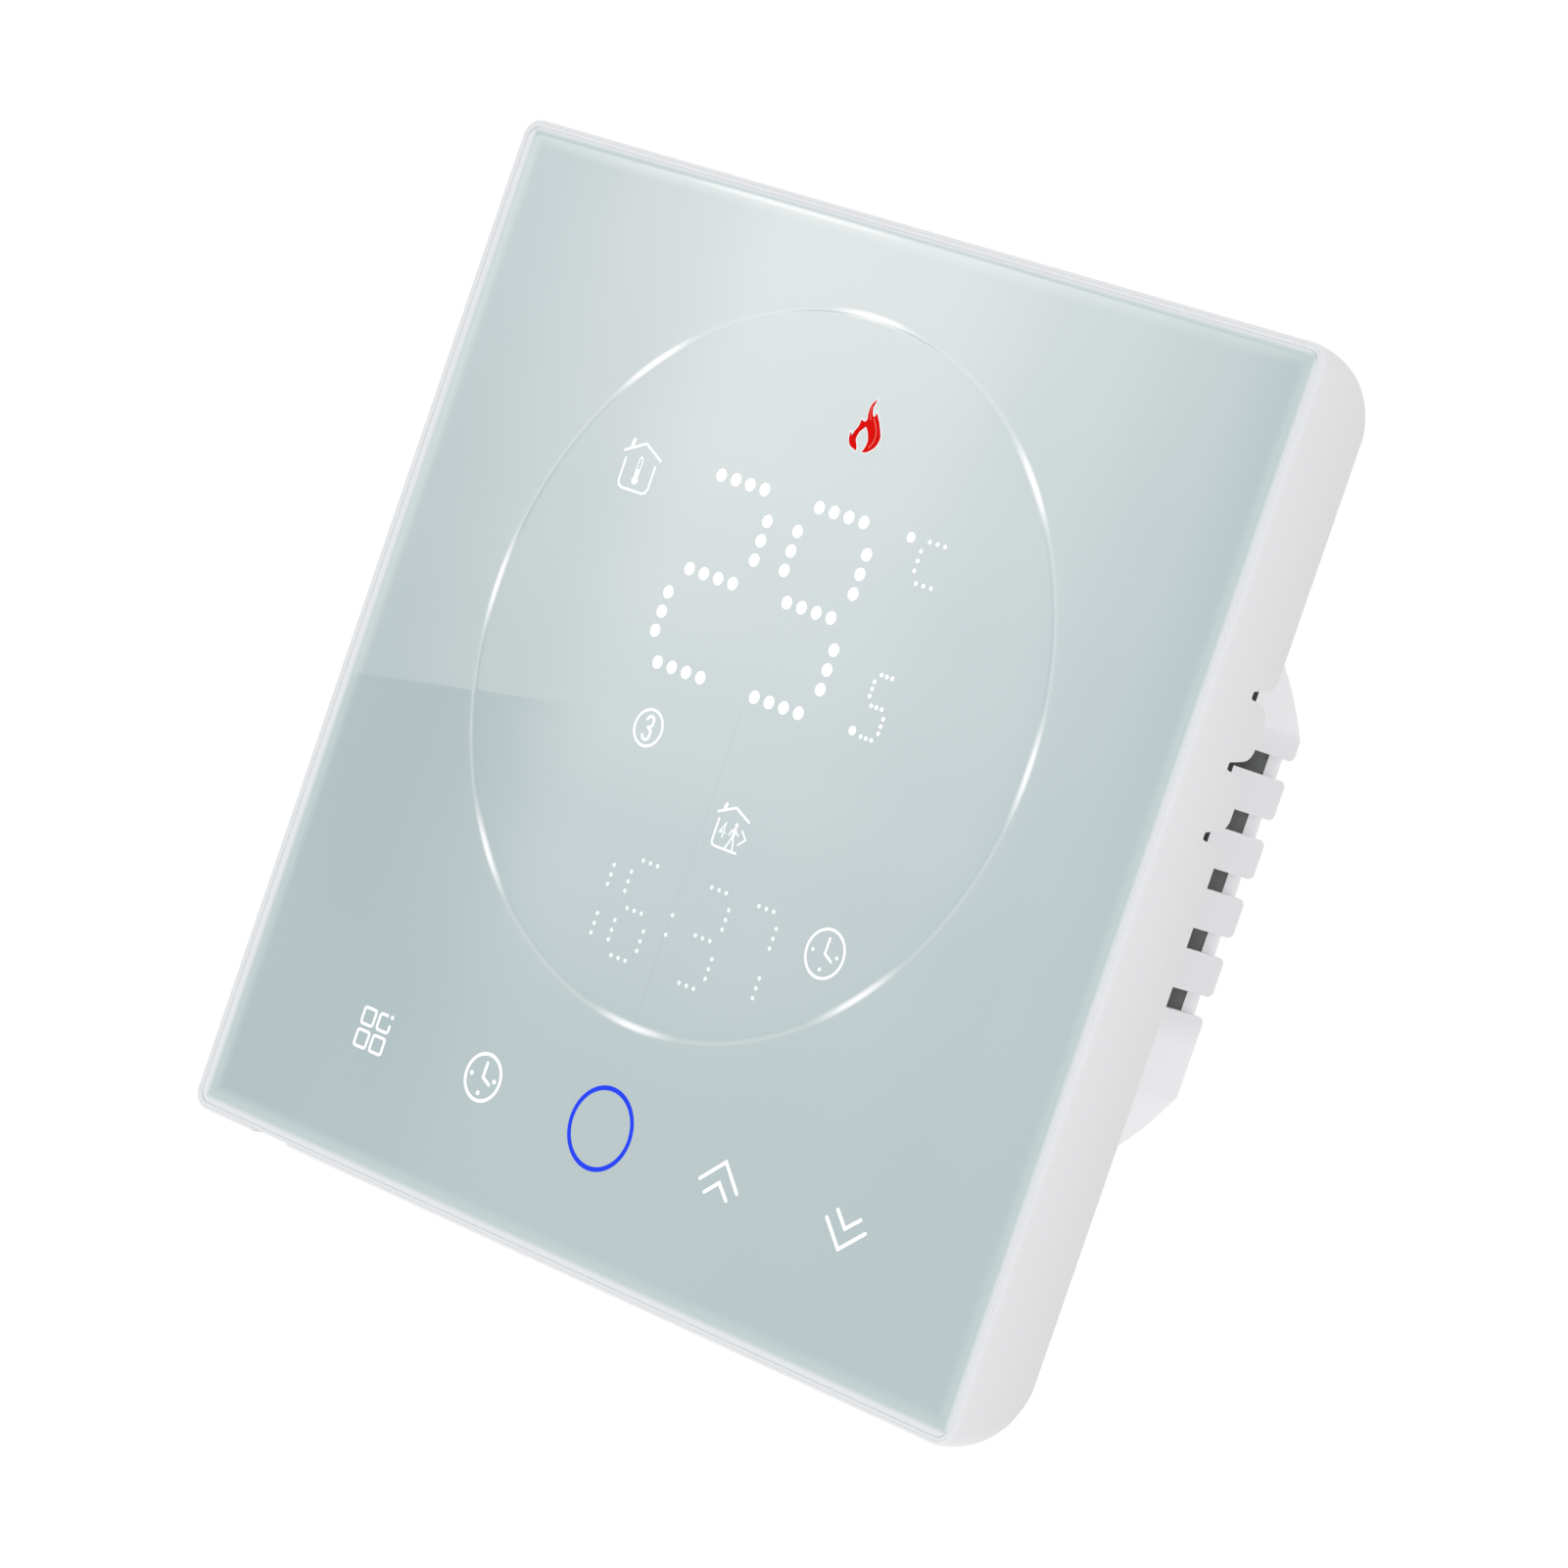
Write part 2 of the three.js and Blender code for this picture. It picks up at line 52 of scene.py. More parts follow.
def place_camera():
    azimuth, height, roll = radians(40.818), radians(1.795), radians(18.977)
    back = Vector((sin(azimuth) * cos(height),
                   -cos(azimuth) * cos(height), sin(height)))
    level = (-back).cross(Vector((0, 0, 1))).normalized()
    above = level.cross(-back)
    right = cos(roll) * level + sin(roll) * above
    up = cos(roll) * above - sin(roll) * level
    distance, aside, lower = 503.615, 3.836, 0.333
    spot = (distance * back - aside * right - lower * up) * MM
    data = bpy.data.cameras.new("studio_camera")
    data.lens = 145.36
    data.sensor_width = 36.0
    data.clip_start = 0.02
    data.clip_end = 50.0
    camera = bpy.data.objects.new("studio_camera", data)
    camera.matrix_world = Matrix((
        (right.x, up.x, back.x, spot.x),
        (right.y, up.y, back.y, spot.y),
        (right.z, up.z, back.z, spot.z),
        (0, 0, 0, 1)))
    bpy.context.scene.collection.objects.link(camera)
    bpy.context.scene.camera = camera
    return spot / MM


eye = place_camera()


# ---------- colours and node graphs

def tone(r, g, b):
    """Linear colour from the usual 0 to 255 values."""
    def lin(v):
        v /= 255.0
        return v / 12.92 if v <= 0.04045 else ((v + 0.055) / 1.055) ** 2.4
    return (lin(r), lin(g), lin(b), 1.0)


class Graph:
    """Short hand for building a node tree."""

    def __init__(self, tree):
        self.tree = tree

    def add(self, kind, settings=None, **values):
        node = self.tree.nodes.new("ShaderNode" + kind)
        for key, value in (settings or {}).items():
            setattr(node, key, value)
        for key, value in values.items():
            self.feed(node.inputs[key.replace("_", " ")], value)
        return node

    def feed(self, socket, value):
        if hasattr(value, "is_output"):
            self.tree.links.new(value, socket)
        else:
            socket.default_value = value

    def calc(self, operation, a, b=0.0, c=0.0):
        node = self.add("Math", {"operation": operation})
        for socket, value in zip(node.inputs, (a, b, c)):
            self.feed(socket, value)
        return node.outputs[0]

    def times(self, a, b):
        return self.calc("MULTIPLY", a, b)

    def gap(self, a, b):
        """How far a is from b."""
        return self.calc("ABSOLUTE", self.calc("SUBTRACT", a, b))

    def fade(self, value, low, high, out_low=0.0, out_high=1.0, curve="SMOOTHSTEP"):
        node = self.add("MapRange", {"interpolation_type": curve})
        for key, v in (("Value", value), ("From Min", low), ("From Max", high),
                       ("To Min", out_low), ("To Max", out_high)):
            self.feed(node.inputs[key], v)
        return node.outputs["Result"]

    def mix(self, amount, a, b):
        node = self.add("Mix", {"data_type": "RGBA"})
        for socket, value in ((0, amount), (6, a), (7, b)):
            self.feed(node.inputs[socket], value)
        return node.outputs[2]

    def steps(self, value, stops, curve="LINEAR"):
        node = self.add("ValToRGB")
        node.color_ramp.interpolation = curve
        while len(node.color_ramp.elements) < len(stops):
            node.color_ramp.elements.new(0.5)
        for element, (place, shade) in zip(node.color_ramp.elements, stops):
            element.position = place
            element.color = shade
        self.feed(node.inputs[0], value)
        return node.outputs[0]

    def noise(self, vector, scale, detail=2.0, rough=0.5):
        node = self.add("TexNoise", Scale=scale, Detail=detail, Roughness=rough)
        self.feed(node.inputs["Vector"], vector)
        return node.outputs[0]

    def here(self):
        """Place on the piece, in metres."""
        return self.add("TexCoord").outputs["Object"]

    def place(self, axis):
        """Place on the piece along one axis, in millimetres."""
        return self.times(self.add("SeparateXYZ", Vector=self.here()).outputs[axis], 1000.0)

    def stretch(self, vector, x, y, z):
        node = self.add("Mapping")
        self.feed(node.inputs["Vector"], vector)
        node.inputs["Scale"].default_value = (x, y, z)
        return node.outputs[0]


def effect(name, inputs, outputs):
    """Node group shared by several finishes: its graph, its given values and its results."""
    tree = bpy.data.node_groups.new(name, "ShaderNodeTree")
    kinds = {"colour": "NodeSocketColor", "value": "NodeSocketFloat"}
    for label, kind, preset in inputs:
        socket = tree.interface.new_socket(name=label, in_out="INPUT", socket_type=kinds[kind])
        if preset is not None:
            socket.default_value = preset
    for label, kind in outputs:
        tree.interface.new_socket(name=label, in_out="OUTPUT", socket_type=kinds[kind])
    return Graph(tree), tree.nodes.new("NodeGroupInput").outputs, tree.nodes.new("NodeGroupOutput").inputs


def moulded_skin():
    """Fine spark-eroded skin of moulded plastic, with faint flow mottling."""
    g, given, out = effect("moulded_skin", [
        ("Tone", "colour", None), ("Grain", "value", 5200.0), ("Mottle", "value", 0.03),
        ("Sheen low", "value", 0.38), ("Sheen high", "value", 0.5)],
        [("Colour", "colour"), ("Roughness", "value"), ("Height", "value")])
    here = g.here()
    fine = g.noise(here, given["Grain"], 3.0)
    broad = g.noise(here, 60.0, 2.0)
    shade = g.calc("MULTIPLY_ADD", g.calc("SUBTRACT", broad, 0.5), given["Mottle"], 1.0)
    lifted = g.add("VectorMath", {"operation": "SCALE"})
    g.feed(lifted.inputs[0], given["Tone"])
    g.feed(lifted.inputs["Scale"], shade)
    g.feed(out["Colour"], lifted.outputs[0])
    g.feed(out["Roughness"], g.fade(fine, 0.3, 0.7, given["Sheen low"], given["Sheen high"], "LINEAR"))
    g.feed(out["Height"], fine)
    return g.tree


def rolled_metal():
    """Fine rolling lines and cloudy plating on sheet and turned metal."""
    g, given, out = effect("rolled_metal", [
        ("Tone", "colour", None), ("Stain", "colour", None), ("Line size", "value", 900.0),
        ("Sheen low", "value", 0.26), ("Sheen high", "value", 0.42)],
        [("Colour", "colour"), ("Roughness", "value"), ("Height", "value")])
    here = g.here()
    lines = g.noise(g.stretch(here, 1.0, 1.0, 14.0), given["Line size"], 3.0, 0.6)
    cloud = g.noise(here, 240.0, 4.0, 0.6)
    g.feed(out["Colour"], g.mix(g.fade(cloud, 0.38, 0.75), given["Tone"], given["Stain"]))
    g.feed(out["Roughness"], g.fade(lines, 0.3, 0.7, given["Sheen low"], given["Sheen high"], "LINEAR"))
    g.feed(out["Height"], lines)
    return g.tree


def board_tracks():
    """Copper tracks under solder resist with small tinned pads."""
    g, given, out = effect("board_tracks", [
        ("Resist", "colour", None), ("Track", "colour", None), ("Pad", "colour", None),
        ("Pitch", "value", 390.0)],
        [("Colour", "colour"), ("Roughness", "value"), ("Metal", "value"), ("Height", "value")])
    here = g.here()
    place = g.add("SeparateXYZ", Vector=here)
    zone = g.add("TexVoronoi", {"feature": "F1", "distance": "CHEBYCHEV"}, Vector=here, Scale=105.0)
    pick = g.calc("GREATER_THAN", g.add("SeparateColor", Color=zone.outputs["Color"]).outputs[0], 0.5)
    across = g.times(place.outputs["X"], given["Pitch"])
    along = g.times(place.outputs["Z"], given["Pitch"])
    way = g.add("Mix", {"data_type": "FLOAT"})
    for socket, value in ((0, pick), (2, across), (3, along)):
        g.feed(way.inputs[socket], value)
    saw = g.gap(g.calc("FRACT", way.outputs[0]), 0.5)
    track = g.fade(saw, 0.26, 0.31)
    bare = g.calc("GREATER_THAN", g.add("SeparateColor", Color=zone.outputs["Color"]).outputs[1], 0.35)
    track = g.times(track, bare)
    dots = g.add("TexVoronoi", {"feature": "F1"}, Vector=here, Scale=330.0, Randomness=0.35)
    chosen = g.calc("GREATER_THAN", g.add("SeparateColor", Color=dots.outputs["Color"]).outputs[2], 0.7)
    pad = g.times(g.fade(dots.outputs["Distance"], 0.24, 0.2), chosen)
    green = g.mix(track, given["Resist"], given["Track"])
    g.feed(out["Colour"], g.mix(pad, green, given["Pad"]))
    g.feed(out["Roughness"], g.calc("MULTIPLY_ADD", pad, -0.1, 0.38))
    g.feed(out["Metal"], g.times(pad, 0.9))
    g.feed(out["Height"], g.calc("ADD", track, pad))
    return g.tree


SKIN = moulded_skin()
METAL = rolled_metal()
TRACKS = board_tracks()


def finish_of(name, **values):
    material = bpy.data.materials.new(name)
    material.use_nodes = True
    tree = material.node_tree
    tree.nodes.clear()
    g = Graph(tree)
    end = g.add("OutputMaterial")
    shader = g.add("BsdfPrincipled")
    for key, value in values.items():
        shader.inputs[key.replace("_", " ")].default_value = value
    g.feed(end.inputs["Surface"], shader.outputs[0])
    return material, g, shader


def relief(g, shader, height, depth, strength=1.0):
    bump = g.add("Bump", Strength=strength, Distance=depth)
    g.feed(bump.inputs["Height"], height)
    g.feed(shader.inputs["Normal"], bump.outputs[0])


def wear_effect(g, shader, tree, depth, **values):
    """Put an effect on a shader with its own values, and its height as relief of that depth."""
    node = g.tree.nodes.new("ShaderNodeGroup")
    node.node_tree = tree
    for key, value in values.items():
        g.feed(node.inputs[key.replace("_", " ")], value)
    g.feed(shader.inputs["Base Color"], node.outputs["Colour"])
    g.feed(shader.inputs["Roughness"], node.outputs["Roughness"])
    relief(g, shader, node.outputs["Height"], depth)
    return node.outputs


def plastic(name, shade, grain=5200.0, mottle=0.03, low=0.38, high=0.5, depth=0.000006):
    material, g, shader = finish_of(name)
    wear_effect(g, shader, SKIN, depth, Tone=tone(*shade), Grain=grain, Mottle=mottle,
                Sheen_low=low, Sheen_high=high)
    return material


def metal(name, shade, stain, line=900.0, low=0.26, high=0.42):
    material, g, shader = finish_of(name, Metallic=1.0)
    wear_effect(g, shader, METAL, 0.000004, Tone=tone(*shade), Stain=tone(*stain), Line_size=line,
                Sheen_low=low, Sheen_high=high)
    return material


def board(name, resist, track, pitch):
    material, g, shader = finish_of(name, Coat_Weight=0.25, Coat_Roughness=0.15)
    art = wear_effect(g, shader, TRACKS, 0.00003, Resist=tone(*resist), Track=tone(*track),
                      Pad=tone(196, 198, 196), Pitch=pitch)
    g.feed(shader.inputs["Metallic"], art["Metal"])
    return material


# ---------- finishes

WINDOW = (-41.6, 42.1, -41.82, 42.08)   # printed window on the glass: left, right, bottom, top
RING_AT = (0.05, 6.17)                  # middle of the engraved ring
RING_R = 29.18


def window_inset(g, x, z):
    """Distance inward from the edge of the printed window, in millimetres."""
    left, right, bottom, top = WINDOW
    across = g.calc("MINIMUM", g.calc("SUBTRACT", x, left), g.calc("SUBTRACT", right, x))
    upward = g.calc("MINIMUM", g.calc("SUBTRACT", z, bottom), g.calc("SUBTRACT", top, z))
    return g.calc("MINIMUM", across, upward)


def pale_glass():
    """Glass printed pale grey-green from behind, with a white margin and a fine engraved ring; the darker
    left, a streak along the top edge, and the ring's bright line and eight glints are painted shade and
    highlights.
    """
    material, g, shader = finish_of("pale_glass", Roughness=0.002)
    x, z = g.place("X"), g.place("Z")
    print_tone, highlight_white = tone(179, 195, 196.6), tone(250, 252, 253)
    # painted shade: the print darkens toward the left edge, where the glass shows less reflected light
    field = g.mix(g.fade(x, -26.0, -10.0), tone(170.5, 187.7, 190), print_tone)
    cloud = g.noise(g.stretch(g.here(), 1.0, 1.0, 0.6), 42.0, 1.0)
    field = g.mix(g.fade(cloud, 0.4, 0.6, 0.0, 0.5), field, tone(176, 193, 197))
    inset = window_inset(g, x, z)
    margin = g.steps(g.fade(inset, -1.0, 1.6, curve="LINEAR"), [
        (0.0, tone(224, 227, 230)), (0.3, tone(224, 228, 231)), (0.38, tone(203, 213, 215)),
        (0.44, tone(190, 205, 206)), (0.62, tone(188, 203, 204)), (1.0, print_tone)])
    field = g.mix(g.fade(inset, 0.5, 1.5), margin, field)
    # painted highlight: a bright streak just inside the top edge, left of the middle
    painted_top_streak = g.times(g.fade(g.gap(z, 41.8), 0.08, 0.32, 1.0, 0.0),
                    g.fade(g.gap(x, -12.0), 5.0, 15.0, 0.34, 0.0))
    field = g.mix(painted_top_streak, field, highlight_white)
    display_joint = g.times(g.fade(g.gap(x, 0.25), 0.05, 0.12, 0.16, 0.0),
                            g.times(g.fade(z, 2.0, 4.5, 1.0, 0.0), g.fade(z, -24.0, -21.0)))
    field = g.mix(display_joint, field, tone(150, 166, 170))
    dx, dz = g.calc("SUBTRACT", x, RING_AT[0]), g.calc("SUBTRACT", z, RING_AT[1])
    reach = g.calc("SQRT", g.calc("ADD", g.times(dx, dx), g.times(dz, dz)))
    off = g.gap(reach, RING_R)
    # painted glints: eight highlights round the ring, one at every eighth of a turn
    glint = g.calc("COSINE", g.times(g.calc("ARCTAN2", dz, dx), 8.0))
    glint = g.calc("POWER", g.calc("MAXIMUM", glint, 0.0), 2.4)
    # painted highlight: a faint bright line along the engraved ring
    field = g.mix(g.times(g.fade(off, 0.1, 0.26, 1.0, 0.0), 0.08), field, highlight_white)
    painted_ring_glints = g.times(g.fade(off, 0.05, 0.42, 1.0, 0.0), glint)
    field = g.mix(g.times(painted_ring_glints, 0.95), field, highlight_white)
    g.feed(shader.inputs["Base Color"], field)
    relief(g, shader, g.noise(g.here(), 55.0, 1.0), 0.0000015, 0.3)
    return material


def lit_ink(name, shade, glow):
    """Lit mark: diffuse ink with a little light of its own and the mesh of the mask behind it."""
    material, g, shader = finish_of(name, Specular_IOR_Level=0.02, Emission_Strength=1.0)
    mesh = g.noise(g.here(), 2600.0, 1.0)
    level = g.fade(mesh, 0.3, 0.7, 0.93, 1.0, "LINEAR")
    shadow = tone(*[max(v - 14, 0) for v in shade])
    colour = g.mix(level, shadow, tone(*shade))
    g.feed(shader.inputs["Base Color"], colour)
    g.feed(shader.inputs["Roughness"], g.fade(mesh, 0.3, 0.7, 0.5, 0.6, "LINEAR"))
    g.feed(shader.inputs["Emission Color"], g.mix(level, (0, 0, 0, 1), glow))
    return material


def shell_plastic_painted_light():
    """Satin white moulding, with painted shade greying its sides toward the wall and a painted highlight
    along the front of the lip.
    """
    material, g, shader = finish_of("shell_white")
    depth = g.place("Y")
    # painted shade: the sides darken from front to rear as they turn toward the wall
    shade = g.mix(g.fade(depth, -12.9, -0.2, curve="LINEAR"), tone(221.5, 221, 223), tone(205, 204, 206))
    # painted highlight: the front half millimetre of the lip is lighter
    shade = g.mix(g.fade(depth, -13.2, -12.7), tone(226, 227, 229), shade)
    wear_effect(g, shader, SKIN, 0.000006, Tone=shade, Grain=5200.0, Mottle=0.02,
                Sheen_low=0.38, Sheen_high=0.5)
    return material


def box_plastic_painted_light():
    """Matt white moulding of the box, set lighter than the housing's white as painted light, with painted
    shade greying the ribs of its slotted flats.
    """
    material, g, shader = finish_of("box_white")
    # painted shade: the ribs between the slots on the flats are greyer
    painted_slot_shade = g.fade(g.gap(g.place("Z"), 2.6), 11.0, 14.0, 1.0, 0.0)
    on_flats = g.fade(g.gap(g.place("X"), 0.0), 25.75, 25.97)
    # painted light: the box's white is set lighter than the housing's
    shade = g.mix(g.times(painted_slot_shade, on_flats), tone(230, 230, 232), tone(219, 219, 221))
    wear_effect(g, shader, SKIN, 0.000006, Tone=shade, Grain=4200.0, Mottle=0.025,
                Sheen_low=0.42, Sheen_high=0.55)
    return material


shell_white = shell_plastic_painted_light()
box_white = box_plastic_painted_light()
glass = pale_glass()

# lit marks: tone, own light
ink_white = lit_ink("ink_white", (250, 252, 253), (0.22, 0.22, 0.22, 1))
ink_soft = lit_ink("ink_soft", (248, 250, 251), (0.1, 0.1, 0.1, 1))
ink_dim = lit_ink("ink_dim", (240, 244, 246), (0.05, 0.05, 0.05, 1))
ink_red = lit_ink("ink_red", (216, 14, 8), (0.01, 0.0, 0.0, 1))
ink_rose = lit_ink("ink_rose", (240, 120, 108), (0.02, 0.01, 0.01, 1))
ink_blue = lit_ink("ink_blue", (28, 58, 236), (0.01, 0.02, 0.06, 1))

# plastics: tone, grain, mottle, lowest and highest roughness, relief depth
cover_white = plastic("cover_white", (228, 229, 231), 4200.0)
chip_black = plastic("chip_black", (36, 36, 38), 9000.0, 0.1, 0.5, 0.62)
socket_black = plastic("socket_black", (28, 28, 30), 6000.0, 0.08, 0.36, 0.48)
foam_black = plastic("foam_black", (48, 50, 52), 2600.0, 0.25, 0.85, 0.95, 0.00005)
film_frost = plastic("film_frost", (238, 241, 241), 9000.0, 0.02, 0.5, 0.65)
mask_grey = plastic("mask_grey", (52, 54, 56), 5200.0, 0.06, 0.55, 0.68)
relay_blue = plastic("relay_blue", (30, 84, 170), 6200.0, 0.05, 0.3, 0.4)
varistor_blue = plastic("varistor_blue", (40, 92, 160), 2100.0, 0.16, 0.22, 0.36, 0.00002)
block_green = plastic("block_green", (62, 150, 84), 5200.0, 0.05, 0.4, 0.52)
ferrite_grey = plastic("ferrite_grey", (58, 59, 62), 3400.0, 0.3, 0.55, 0.75, 0.00002)
sleeve_black = plastic("sleeve_black", (30, 32, 38), 1500.0, 0.12, 0.18, 0.3)

# metals: tone, stain, line size, lowest and highest roughness
zinc = metal("zinc_plate", (196, 199, 204), (176, 181, 192))
screw_zinc = metal("screw_zinc", (205, 206, 208), (178, 180, 184), 2600.0, 0.2, 0.34)
spring_nickel = metal("spring_nickel", (200, 198, 190), (170, 168, 160), 4200.0, 0.18, 0.3)
pin_brass = metal("pin_brass", (224, 190, 116), (196, 158, 84), 2600.0, 0.18, 0.3)
clamp_brass = metal("clamp_brass", (206, 204, 196), (190, 172, 128), 1800.0, 0.24, 0.38)
solder_tin = metal("solder_tin", (206, 208, 210), (170, 172, 174), 5200.0, 0.16, 0.34)
cell_steel = metal("cell_steel", (208, 209, 210), (188, 190, 192), 1200.0, 0.16, 0.26)

# circuit boards: solder resist, tracks, track pitch
display_green = board("display_green", (22, 84, 54), (34, 112, 70), 420.0)
power_green = board("power_green", (26, 92, 52), (44, 126, 72), 260.0)


def wound_tape():
    """Yellow tape over a wound bobbin."""
    material, g, shader = finish_of("wound_tape", Coat_Weight=0.3)
    lap = g.calc("FRACT", g.times(g.place("Z"), 0.42))
    edge = g.fade(lap, 0.0, 0.08)
    shade = g.mix(edge, tone(150, 104, 34), tone(214, 168, 64))
    varnish = g.fade(g.noise(g.here(), 300.0, 3.0), 0.4, 0.7)
    g.feed(shader.inputs["Base Color"], g.mix(varnish, shade, tone(198, 148, 50)))
    g.feed(shader.inputs["Roughness"], g.fade(lap, 0.0, 1.0, 0.28, 0.38, "LINEAR"))
    relief(g, shader, edge, 0.00004)
    return material


tape = wound_tape()


# ---------- making meshes (millimetres)

def mesh_of(name, points, faces, material, smooth=True):
    mesh = bpy.data.meshes.new(name)
    mesh.from_pydata([Vector(p) * MM for p in points], [], faces)
    if material is not None:
        mesh.materials.append(material)
    for polygon in mesh.polygons:
        polygon.use_smooth = smooth
    mesh.update()
    piece = bpy.data.objects.new(name, mesh)
    bpy.context.scene.collection.objects.link(piece)
    return piece


def square_outline(half, radius, side_steps=1, corner_steps=8):
    """Square with round corners as (x, z) pairs, anticlockwise from +X."""
    r = max(radius, 0.05)
    points = []
    for q in range(4):
        cx = (1 if q in (0, 3) else -1) * (half - r)
        cz = (1 if q < 2 else -1) * (half - r)
        for i in range(corner_steps + 1):
            a = (q + i / corner_steps) * pi / 2
            points.append((cx + r * cos(a), cz + r * sin(a)))
        ax, az = points[-1]
        nx = (1 if (q + 1) % 4 in (0, 3) else -1) * (half - r)
        nz = (1 if (q + 1) % 4 < 2 else -1) * (half - r)
        a = (q + 1) * pi / 2
        bx, bz = nx + r * cos(a), nz + r * sin(a)
        for i in range(1, side_steps):
            t = i / side_steps
            points.append((ax + (bx - ax) * t, az + (bz - az) * t))
    return points


def drum_outline(radius, flat, steps=56, flat_steps=10):
    """Circle cut by two upright flats as (x, z) pairs."""
    start = acos(min(1.0, flat / radius))
    top = radius * sin(start)
    points = []
    for turn, side in ((0.0, -1), (pi, 1)):
        for i in range(steps + 1):
            a = turn + start + (pi - 2 * start) * i / steps
            points.append((radius * cos(a), radius * sin(a)))
        for i in range(1, flat_steps):
            points.append((side * flat, -side * top * (1 - 2 * i / flat_steps)))
    return points


def ring_faces(total, count, closed=False, capped=True):
    """Faces of a skin through rings of points, each ring with the same count."""
    faces = []
    for k in range(total if closed else total - 1):
        a, b = k * count, (k + 1) % total * count
        for i in range(count):
            j = (i + 1) % count
            faces.append((a + i, a + j, b + j, b + i))
    if capped and not closed:
        faces.append(tuple(reversed(range(count))))
        faces.append(tuple(range((total - 1) * count, total * count)))
    return faces


def skin_rings(rings, closed=False, capped=True):
    """Points and faces of a skin through rings of (y, outline)."""
    points = [(x, y, z) for y, outline in rings for x, z in outline]
    return points, ring_faces(len(rings), len(rings[0][1]), closed, capped)


def reshape(piece, work):
    """Change a piece's mesh by work, a function of its bmesh."""
    shape = bmesh.new()
    shape.from_mesh(piece.data)
    work(shape)
    shape.to_mesh(piece.data)
    shape.free()


def tidy_mesh(piece, sharp_deg=32.0):
    """Weld, outward normals, and crisp edges only where the form turns sharply."""
    def weld(shape):
        bmesh.ops.remove_doubles(shape, verts=shape.verts, dist=0.000002)
        bmesh.ops.dissolve_degenerate(shape, dist=0.000002, edges=shape.edges)
        bmesh.ops.recalc_face_normals(shape, faces=shape.faces)
    reshape(piece, weld)
    for polygon in piece.data.polygons:
        polygon.use_smooth = True
    piece.data.set_sharp_from_angle(angle=radians(sharp_deg))
    return piece


def rings_piece(name, rings, material=None, sharp_deg=32.0, closed=False):
    """Tidy piece skinned through rings of (y, outline)."""
    points, faces = skin_rings(rings, closed)
    return tidy_mesh(mesh_of(name, points, faces, material), sharp_deg)


def settle(piece):
    """Replace a piece's mesh by the result of its modifiers."""
    bpy.context.view_layer.update()
    seen = piece.evaluated_get(bpy.context.evaluated_depsgraph_get())
    mesh = bpy.data.meshes.new_from_object(seen)
    piece.modifiers.clear()
    piece.data = mesh
    return piece


def carve(piece, tools, operation="DIFFERENCE"):
    for tool in tools:
        step = piece.modifiers.new("carve", "BOOLEAN")
        step.operation = operation
        step.solver = "EXACT"
        step.object = tool
        settle(piece)
        bpy.data.objects.remove(tool)
    return piece


def bar_xz(outline, y0, y1):
    """Prism along Y from an (x, z) outline."""
    return rings_piece("tool", [(y0, outline), (y1, outline)])


def bar_yz(outline, x0, x1):
    """Prism along X from a (y, z) outline."""
    points = [(x, y, z) for x in (x0, x1) for y, z in outline]
    return tidy_mesh(mesh_of("tool", points, ring_faces(2, len(outline)), None))


def circle(x, z, r, steps=32):
    return [(x + r * cos(2 * pi * i / steps), z + r * sin(2 * pi * i / steps))
            for i in range(steps)]


def box_outline(x0, x1, z0, z1, r=0.0, steps=4):
    """Rectangle with round corners, anticlockwise."""
    if r <= 0:
        return [(x1, z0), (x1, z1), (x0, z1), (x0, z0)]
    points = []
    for q, (cx, cz) in enumerate(((x1 - r, z1 - r), (x0 + r, z1 - r), (x0 + r, z0 + r), (x1 - r, z0 + r))):
        for i in range(steps + 1):
            a = (q + i / steps) * pi / 2
            points.append((cx + r * cos(a), cz + r * sin(a)))
    return points


def round_edges(piece, width, angle_deg=34.0, segments=3):
    """Small even rounding of every sharp edge."""
    step = piece.modifiers.new("edge_round", "BEVEL")
    step.width = width * MM
    step.segments = segments
    step.limit_method = "ANGLE"
    step.angle_limit = radians(angle_deg)
    step.use_clamp_overlap = True
    even = piece.modifiers.new("even_faces", "WEIGHTED_NORMAL")
    even.keep_sharp = False
    even.weight = 60
    return piece


def seat_piece(piece, body, slot, *stands_for):
    """Put a piece on its body and hide the CAD nodes that it stands for; its finish slot is not used."""
    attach(piece, body)
    if stands_for:
        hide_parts(*stands_for)


# ---------- front housing and glass

def side_half(y):
    """Half width of the housing at a depth: its sides curve in toward the wall."""
    s = max(0.0, y - FRONT_Y)
    return HALF - (SIDE_R - sqrt(SIDE_R * SIDE_R - s * s))


NOTCH_AT = (17.1, 11.55, 6.05)   # heights of the three air notches
SHELL_WALL = 1.45
POST_AT = 35.0                   # screw posts, out from the middle both ways


